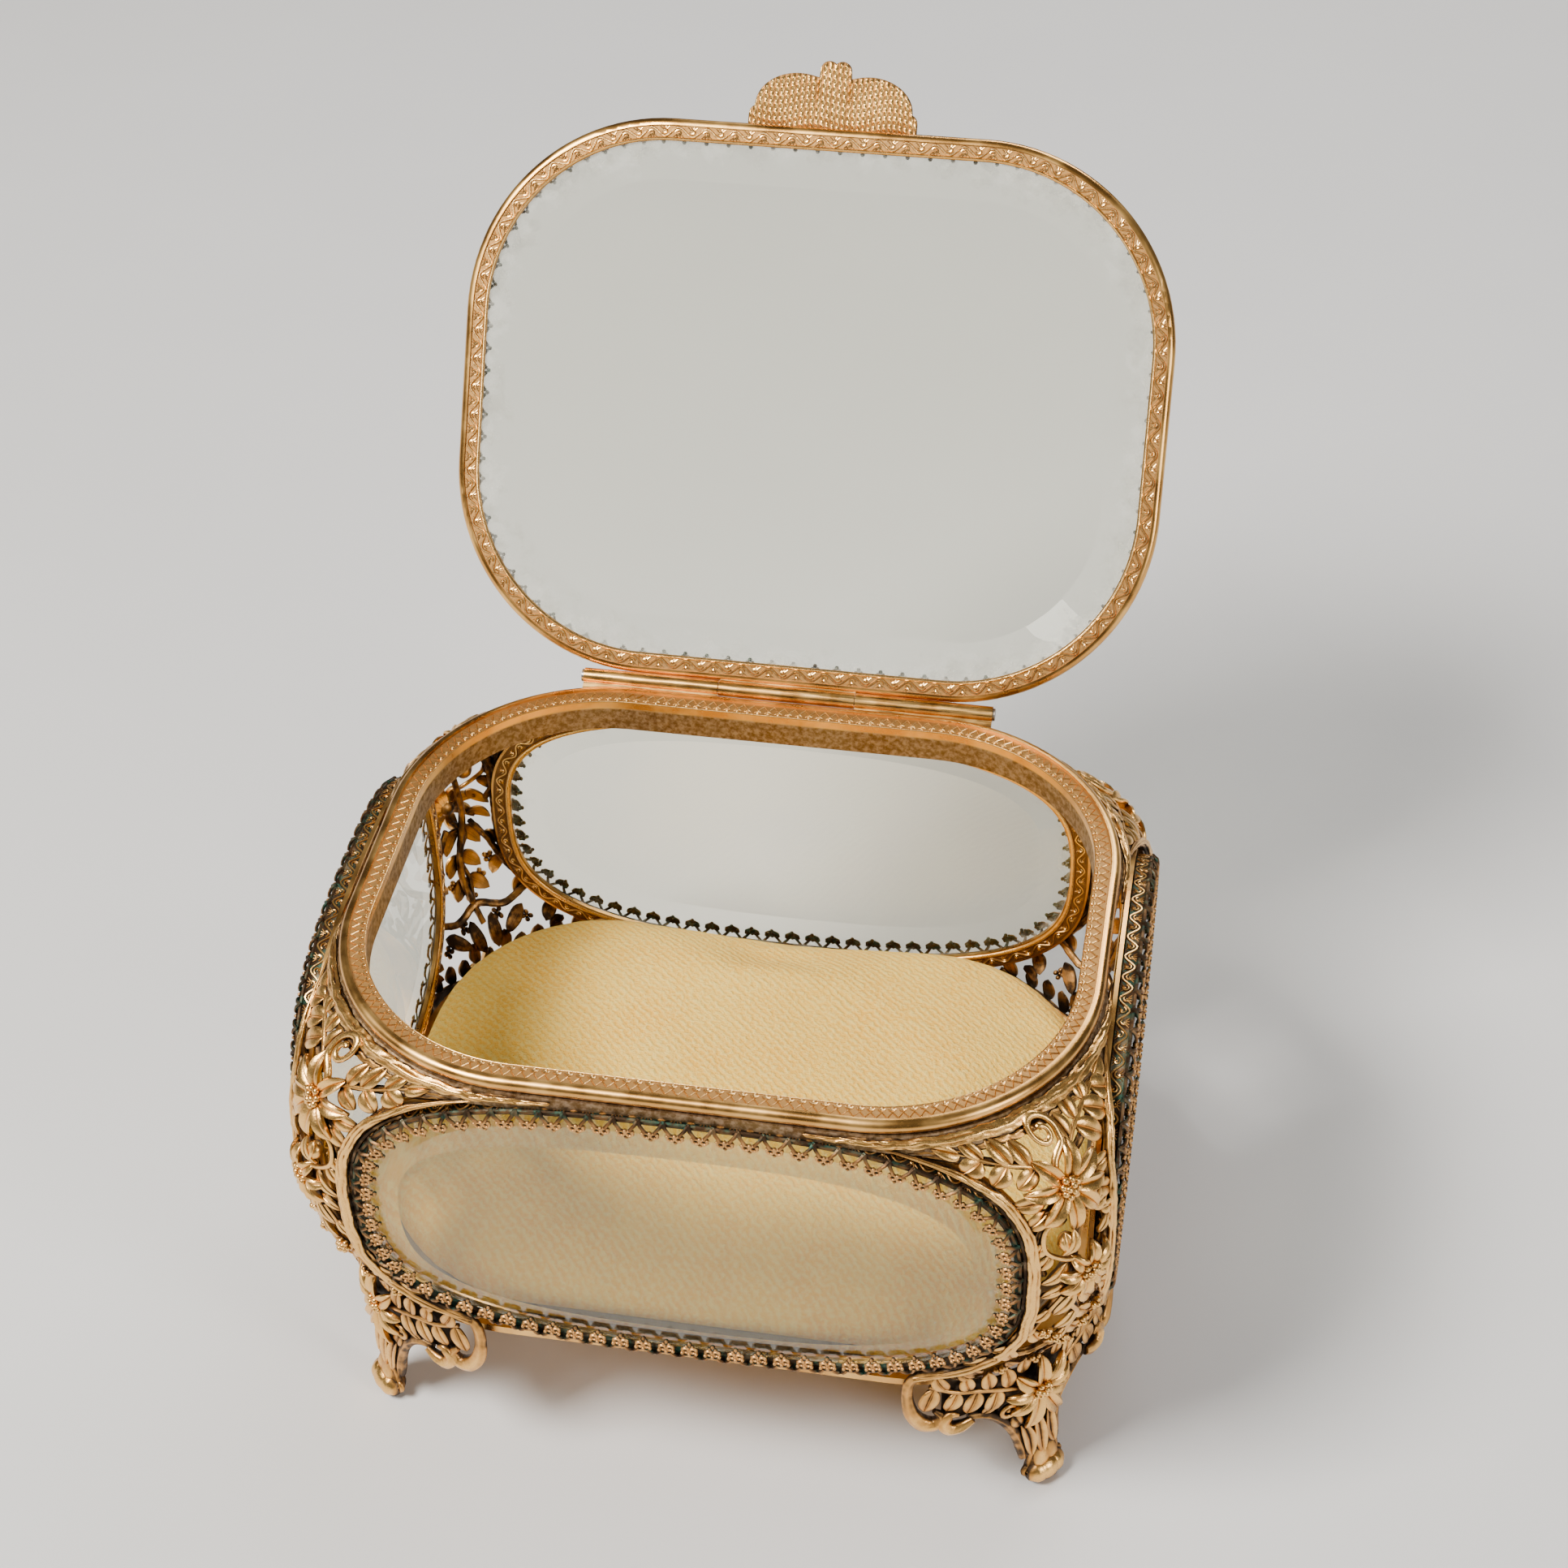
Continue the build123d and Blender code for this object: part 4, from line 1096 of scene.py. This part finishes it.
def prong_row(outline):
    """Heart-shaped prongs on a zigzag of arms, drawn as (along, inset, proud)."""
    r = Relief()
    count = round(outline.length / PRONG_PITCH)
    pitch = outline.length / count
    for number in range(count):
        middle = number * pitch
        for hand in (-1, 1):
            arm = [
                (middle + hand * (pitch / 2 + 0.15), -0.05), (middle + hand * 1.7, 0.55),
                (middle + hand * 1.15, 1.15), (middle + hand * 0.8, 1.75),
            ]
            line = [(u, v, prong_height(v)) for u, v in arm]
            # the arms are darkened: painted shade between the hearts
            r.tube(line, [0.50, 0.38, 0.34, 0.36], sides=6, shade_and_wear=-0.8)
            lobe = middle + hand * 0.72
            r.ring(lobe, 2.6, prong_height(2.6), 0.62, 0.30, 10, 6)
            # a flat dark bead in each lobe: painted shade standing for the heart's hole
            r.bead(lobe, 2.6, prong_height(2.6) - 0.22, 0.5, 0.3, 6, -1.6)
            r.bead(middle + hand * 1.32, 2.05, prong_height(2.05), 0.42, sides=6)
            r.bead(middle + hand * 1.28, 2.95, prong_height(2.95), 0.33, sides=6)
            r.bead(middle + hand * 0.55, 3.45, prong_height(3.4), 0.40, sides=6)
        r.bead(middle, 1.85, prong_height(1.85), 0.42, sides=6)
        r.bead(middle, 4.0, prong_height(3.95), 0.47, sides=6)
    return r


def band_section(r, length, section, count):
    """Sweeps a closed (across, proud) section once round the outline."""
    along = np.arange(count) * length / count
    points = np.array([(u, v, h) for u in along for v, h in section])
    r.add(points, ring_faces(count, len(section)))


def prong_gallery(name, outline, axes, body, replaced, depth):
    """A collar with a scrolled wall and the prongs that hold a glass."""
    prongs = prong_row(outline)
    band_section(prongs, outline.length, (
        (0.0, -1.15), (0.45, -1.0), (0.8, -1.3), (1.15, -1.5), (1.2, -depth), (0.25, -depth),
        (0.0, -depth + 0.25), (0.12, -depth + 0.5), (0.12, -1.75), (-0.12, -1.55),
    ), 360)
    prongs.build(name, face_place(outline, axes), PRONG, body, replaced=replaced, base=-0.9)
    scroll = Relief()
    middle = (1.6 + depth) / 2
    scroll.vine_band(outline.length, (depth - 1.9) / 2, 5.2, 0.22, 0.0)
    scroll.shift(middle, 0)
    scroll.build(f"{name}_scrolls", wall_place(outline, axes, 0.08), CHASED, body)


def windows():
    """The galleries of the four windows and the engraved bands on their rings."""
    for side, half_width in HALF_WIDTHS.items():
        outline = superellipse(half_width, WINDOW_HALF_HEIGHT, OVAL_ORDER)
        axes = window_axes(side)
        prong_gallery(f"{side}_prong_gallery", outline, axes, "case",
                      [f"{side}_prong_bezel"], COLLAR_DEPTH)
        ring = Relief()
        ring.vine_band(outline.length, 0.95, 5.6, 0.22, 0.06)
        ring.shift(0.15, RING_INNER_FACE)
        band_section(ring, outline.length, [(v, RING_INNER_FACE + h) for v, h in (
            (-1.2, -0.1), (-1.2, 0.05), (1.35, 0.05), (1.45, 0.35), (1.7, 0.5), (2.1, 0.45),
            (2.35, 0.1), (2.2, -0.1),
        )], 360)
        ring.build(f"{side}_ring_scrolls", face_place(outline, axes, -1.0), CHASED, "case",
                   slot="gilt", base=RING_INNER_FACE + 0.05)


# ---------------------------------------------------------------- rim and lid ornament
def rim_ornament():
    """The zigzag line and the row of pearls on the rim's ledge."""
    length = RIM_OUTLINE.length
    r = Relief()
    count = round(length / ZIGZAG_PITCH)
    pitch = length / count
    line = []
    for number in range(count):
        line.append((number * pitch, 2.2, 0.12))
        line.append(((number + 0.5) * pitch, 3.5, 0.12))
    r.tube(line, [0.15], sides=4, closed=True, shade_and_wear=0.12)
    for number in range(count):
        scallop = [
            ((number + 0.5) * pitch + 0.72 * cos(turn), 4.42 + 0.52 * sin(turn), 0.10)
            for turn in np.linspace(-0.08 * pi, -0.92 * pi, 8)
        ]
        r.tube(scallop, [0.13, 0.25, 0.13], sides=6)
        r.bead((number + 0.5) * pitch, 4.42, 0.08, 0.34, 0.9, 8)
    band_section(r, length, (
        (1.65, -0.05), (1.65, 0.05), (4.72, 0.05), (4.76, 0.14), (4.83, 0.18), (4.9, 0.14),
        (4.92, -0.05),
    ), 480)
    r.build("rim_ledge_ornament", face_place(RIM_OUTLINE, rim_axes(LEDGE_TOP)), LEDGE, "case",
            slot="gilt", base=0.03)


def lid_ornament():
    """The running vine on the lid's band, and the gallery on the lid's outer face."""
    vine = Relief()
    vine.vine_band(RIM_OUTLINE.length, 1.05, 5.6, 0.25, 0.10)
    vine.shift(2.6, -0.33)
    vine.tube([(0.0, 1.5, -0.24), (0.0, 4.0, -0.02)], [0.08], sides=4, shade_and_wear=-2.0)
    place = face_place(RIM_OUTLINE, lid_axes(LID_SEAT), -1.0)
    band_section(vine, RIM_OUTLINE.length, (
        (1.42, -0.45), (1.42, -0.30), (3.62, -0.30), (3.7, -0.12), (3.95, 0.02), (4.2, -0.1),
        (4.32, -0.5), (4.0, -0.8),
    ), 480)
    vine.build("lid_band_scrolls", place, LEDGE, "lid", slot="gilt", base=-0.30)
    prong_gallery("lid_prong_gallery", RIM_OUTLINE.resampled(OUTLINE_POINTS, 0.5),
                  lid_axes(LID_BEZEL_TOP), "lid", ["lid_prong_bezel"], 2.6)


TAB_HALF_WIDTH = 16.5
STIPPLE_ACROSS, STIPPLE_ALONG = 1.02, 1.55  # pitches of the dots on the tab


def thumb_tab():
    """The shell-shaped tab: stippled towards the lid's inside, leafy on the outside."""
    r = Relief()
    root = -RIM_DEPTH / 2 + 0.3

    def top_edge(x):
        """Height of the tab's outline over its root: two lobes, two ears and a knob."""
        x = np.abs(x)
        lobe = 4.0 + 6.5 * np.sqrt(np.maximum(1 - (np.maximum(x - 7.0, 0) / 8.4) ** 2, 0))
        lobe = np.where(x < 7.0, 9.9 + 0.6 * np.sin(np.maximum(x - 3.1, 0) / 3.9 * pi / 2), lobe)
        ear = 2.2 + np.sqrt(np.maximum(1.9**2 - (x - 14.6) ** 2, 0))
        knob = 11.3 + np.sqrt(np.maximum(1.8**2 - (x - 1.25) ** 2, 0))
        return np.maximum.reduce([np.where(x < 15.4, lobe, 0), ear, np.where(x < 3.1, knob, 0)])

    columns = np.linspace(-TAB_HALF_WIDTH, TAB_HALF_WIDTH, 221)
    rows = np.linspace(0, 1, 56)
    edge = top_edge(columns)
    side = np.minimum(TAB_HALF_WIDTH - np.abs(columns), 1.0)
    grid = np.zeros((len(rows), len(columns), 3))
    grid[:, :, 0] = columns
    grid[:, :, 1] = rows[:, None] * edge
    inner, outer = grid.copy(), grid.copy()
    x, y = grid[:, :, 0], grid[:, :, 1]
    nearness = np.clip(np.minimum((edge - y) / 0.7, side / 0.5), 0, 1) ** 0.6
    row_number = np.round(x / STIPPLE_ACROSS)
    shift = np.sin(row_number * 12.9898) * 3.0
    pimple = 0.5 + 0.5 * np.sin(y * tau / STIPPLE_ALONG + shift)
    stripe = 0.5 + 0.5 * np.cos(x * tau / STIPPLE_ACROSS)
    inner[:, :, 2] = 0.05 + nearness * (0.12 + 0.42 * stripe * (0.35 + 0.65 * pimple))
    swell = 0.9 * np.sin(np.clip(y / np.maximum(edge, 0.1), 0, 1) * pi)
    flute = 0.4 * np.abs(np.sin(np.arctan2(np.abs(x) - 8.0, y + 1.5) * 6.0))
    outer[:, :, 2] = -0.7 - nearness * (swell + flute)
    r.slab(inner, outer)

    def place(drawing):
        x, y, h = drawing.T
        return in_plane(lid_axes(LID_SEAT + BEAD + 0.2), x, root - y, -h)

    r.build("thumb_tab_casting", place, CHASED, "lid", replaced=["thumb_tab"], base=0.12)


# ---------------------------------------------------------------- hinge solder
def hinge_solder():
    """Uneven solder under the outer knuckles, where they join the rim."""
    r = Relief()
    for start in (-41.0, 14.0):
        stations = np.linspace(start, start + 27.0, 40)
        line = [(x, 0.15 * jitter(x, 1.0), 0.12 * jitter(x, 2.0)) for x in stations]
        r.tube(line, [0.65], [0.55], 8, ridges=lambda station, turns: 1 + 0.2 * np.array(
            [noise.noise(Vector((station * 0.6, cos(t), sin(t)))) for t in turns]))

    def place(drawing):
        x, y, h = drawing.T
        return np.column_stack([x, HINGE_Y - 1.55 + y, RIM_TOP - 0.85 + h])

    r.build("hinge_solder", place, SOLDER, "case", slot="gilt_tube")


# ---------------------------------------------------------------- velvet cushion
CLOTH_PRESSURE, CLOTH_FRAMES, CLOTH_REACH = 4.0, 20, 2.4  # reach in millimetres


def cushion():
    """A crowned velvet pad: a slab inflated by cloth simulation, then napped."""
    low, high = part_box("cushion")
    centre = (low + high) / 2
    half = (high - low) / 2
    margin = 1.6 * MM
    outline = rounded_rectangle(2 * (half.x - margin) / MM, 2 * (half.y - margin) / MM, 34.4)
    travel = np.arange(96) * outline.length / 96
    shape = bmesh.new()
    loops = []
    # share of the outline and share of the height, from the bottom's middle to the top's
    route = [(0.3, 0.0), (0.7, 0.0), (0.96, 0.0), (1.0, 0.12), (1.0, 0.42), (0.985, 0.66),
             (0.955, 0.82), (0.90, 0.92), (0.8, 0.975), (0.55, 1.0), (0.3, 1.0)]
    for share, rise in route:
        x, y = outline.at(travel, 0.0)
        z = low.z + 0.4 * MM + (high.z - low.z - 2.6 * MM) * rise
        loops.append([shape.verts.new((centre.x + a * share * MM, centre.y + b * share * MM, z))
                      for a, b in zip(x, y)])
    for lower, upper in zip(loops, loops[1:]):
        for index in range(len(lower)):
            beside = (index + 1) % len(lower)
            shape.faces.new((lower[index], lower[beside], upper[beside], upper[index]))
    shape.faces.new(reversed(loops[0]))
    shape.faces.new(loops[-1])
    mesh = bpy.data.meshes.new("velvet_cushion")
    shape.to_mesh(mesh)
    shape.free()
    piece = add_piece("velvet_cushion", mesh, VELVET, "case", ["cushion"])
    inflate(piece, low.z + 1.0 * MM, CLOTH_REACH * MM)
    nap(piece, low, high)


def apply_modifiers(piece):
    """Bakes a piece's modifiers into its mesh."""
    evaluated = piece.evaluated_get(bpy.context.evaluated_depsgraph_get())
    mesh = bpy.data.meshes.new_from_object(evaluated)
    piece.modifiers.clear()
    piece.data = mesh


def inflate(piece, floor, reach):
    """Cloth under pressure, held at the floor; no point moves further than reach."""
    remesh = piece.modifiers.new("remesh", "REMESH")
    remesh.mode = "VOXEL"
    remesh.voxel_size = 2.6 * MM
    apply_modifiers(piece)
    start = np.array([v.co for v in piece.data.vertices])
    held = piece.vertex_groups.new(name="held")
    held.add([v.index for v in piece.data.vertices if v.co.z < floor], 1.0, "REPLACE")
    cloth = piece.modifiers.new("cloth", "CLOTH")
    cloth.settings.vertex_group_mass = "held"
    cloth.settings.use_pressure = True
    cloth.settings.uniform_pressure_force = CLOTH_PRESSURE
    cloth.settings.effector_weights.gravity = 0.0
    scene = bpy.context.scene
    for step in range(1, CLOTH_FRAMES + 1):
        scene.frame_set(step)
    apply_modifiers(piece)
    scene.frame_set(1)
    moved = np.array([v.co for v in piece.data.vertices])
    travel = moved - start
    length = np.linalg.norm(travel, axis=1)
    capped = start + travel * np.minimum(1, reach / np.maximum(length, 1e-9))[:, None]
    for vertex, point in zip(piece.data.vertices, capped):
        vertex.co = point


def nap(piece, low, high):
    """Adds the crown and the soft unevenness of the stuffing."""
    refine = piece.modifiers.new("refine", "SUBSURF")
    refine.levels = refine.render_levels = 1
    apply_modifiers(piece)
    half = (high - low) / 2
    centre = (low + high) / 2
    for vertex in piece.data.vertices:
        point = vertex.co
        out = max(abs(point.x - centre.x) / half.x, abs(point.y - centre.y) / half.y)
        rise = (point.z - low.z) / (high.z - low.z)
        crown = 1.4 * MM * max(0.0, 1 - out**2) * max(0.0, rise - 0.5) * 2
        lump = 0.5 * MM * noise.noise(point / (22 * MM)) * max(0.0, rise)
        point.z = min(point.z + crown + lump, high.z + 2.0 * MM)
    for polygon in piece.data.polygons:
        polygon.use_smooth = True


# ---------------------------------------------------------------- CAD nodes' finishes
def finish_cad_nodes():
    """Gives every CAD node that stays its material."""
    finishes = {"body_rim": RIM_GILT, "base_plate": GILT, "lid_frame": GILT, "cushion_board": BOARD}
    finishes.update({f"hinge_knuckle_{side}": TUBE for side in ("left", "right", "centre")})
    finishes["hinge_pin"] = STEEL
    for side, half_width in HALF_WIDTHS.items():
        finishes[f"{side}_window_frame"] = GILT
        finishes[f"{side}_glass"] = glass(f"glass_{side}", window_axes(side), half_width,
                                          WINDOW_HALF_HEIGHT, OVAL_ORDER)
    finishes["lid_glass"] = glass("glass_lid", lid_axes(), RIM_WIDTH / 2 - LID_GLASS_INSET,
                                  RIM_DEPTH / 2 - LID_GLASS_INSET, LID_GLASS_ORDER)
    for name, material in finishes.items():
        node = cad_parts[name]
        node.data.materials.clear()
        node.data.materials.append(material)


# ---------------------------------------------------------------- stage
CAMERA_AZIMUTH, CAMERA_ELEVATION, CAMERA_ROLL = 11.06, 41.39, -1.58
CAMERA_DISTANCE = 537.8
CAMERA_SLIDE = (-9.156, -18.942)
CAMERA_LENS = 66.79
LIGHT_AIM = (0, 0, 0.08)  # metres, as is the floor's half width
FLOOR_HALF = 3.0


def camera():
    """The main viewpoint, placed from the centre of the rim's top."""
    a, e, roll = radians(CAMERA_AZIMUTH), radians(CAMERA_ELEVATION), radians(CAMERA_ROLL)
    back = Vector((sin(a) * cos(e), -cos(a) * cos(e), sin(e)))
    right = Vector((cos(a), sin(a), 0))
    upward = back.cross(right)
    axis_x = right * cos(roll) + upward * sin(roll)
    axis_y = -right * sin(roll) + upward * cos(roll)
    turn = Matrix((axis_x, axis_y, back)).transposed()
    place = turn @ Vector((-CAMERA_SLIDE[0], -CAMERA_SLIDE[1], CAMERA_DISTANCE))
    place += Vector((0, 0, RIM_TOP))
    data = bpy.data.cameras.new("camera")
    data.sensor_width = 36.0
    data.lens = CAMERA_LENS
    data.clip_start, data.clip_end = 0.01, 20.0
    piece = put("camera", data)
    piece.matrix_world = Matrix.Translation(place * MM) @ turn.to_4x4()
    bpy.context.scene.camera = piece


def softbox(name, place, size, power, tint):
    """A rectangular studio light, aimed at the body of the box."""
    data = bpy.data.lights.new(name, "AREA")
    data.shape = "RECTANGLE"
    data.size, data.size_y = size
    data.energy = power
    data.color = tint
    piece = put(name, data)
    piece.location = place
    piece.rotation_mode = "QUATERNION"
    piece.rotation_quaternion = (Vector(LIGHT_AIM) - Vector(place)).to_track_quat("-Z", "Y")


def studio():
    """A pale floor, soft lights and a dim surround."""
    mesh = bpy.data.meshes.new("floor")
    half = FLOOR_HALF
    mesh.from_pydata([(-half, -half, 0), (half, -half, 0), (half, half, 0), (-half, half, 0)],
                     [], [(0, 1, 2, 3)])
    floor = put("floor", mesh)
    n = Nodes("floor")
    n.set(Roughness=0.55, Specular_IOR_Level=0.3)
    mottle = n.mix(n.noise(60.0, 3.0), rgb(0.70, 0.69, 0.67), rgb(0.74, 0.73, 0.71))
    mesh.materials.append(n.finish(mottle))
    world = bpy.data.worlds.new("surround")
    bpy.context.scene.world = world
    world.use_nodes = True
    world.node_tree.nodes["Background"].inputs["Color"].default_value = rgb(0.86, 0.87, 0.90)
    world.node_tree.nodes["Background"].inputs["Strength"].default_value = 0.10
    softbox("key", (-0.62, -0.50, 1.15), (0.50, 0.40), 35.0, (1.0, 0.97, 0.93))
    softbox("fill", (0.95, -0.55, 0.55), (0.30, 0.50), 6.0, (1.0, 0.97, 0.94))
    softbox("back", (0.25, 0.95, 0.95), (0.7, 0.22), 8.0, (0.98, 0.98, 1.0))


# ---------------------------------------------------------------- build
finish_cad_nodes()
corner_castings()
windows()
rim_ornament()
lid_ornament()
thumb_tab()
hinge_solder()
cushion()
studio()
camera()
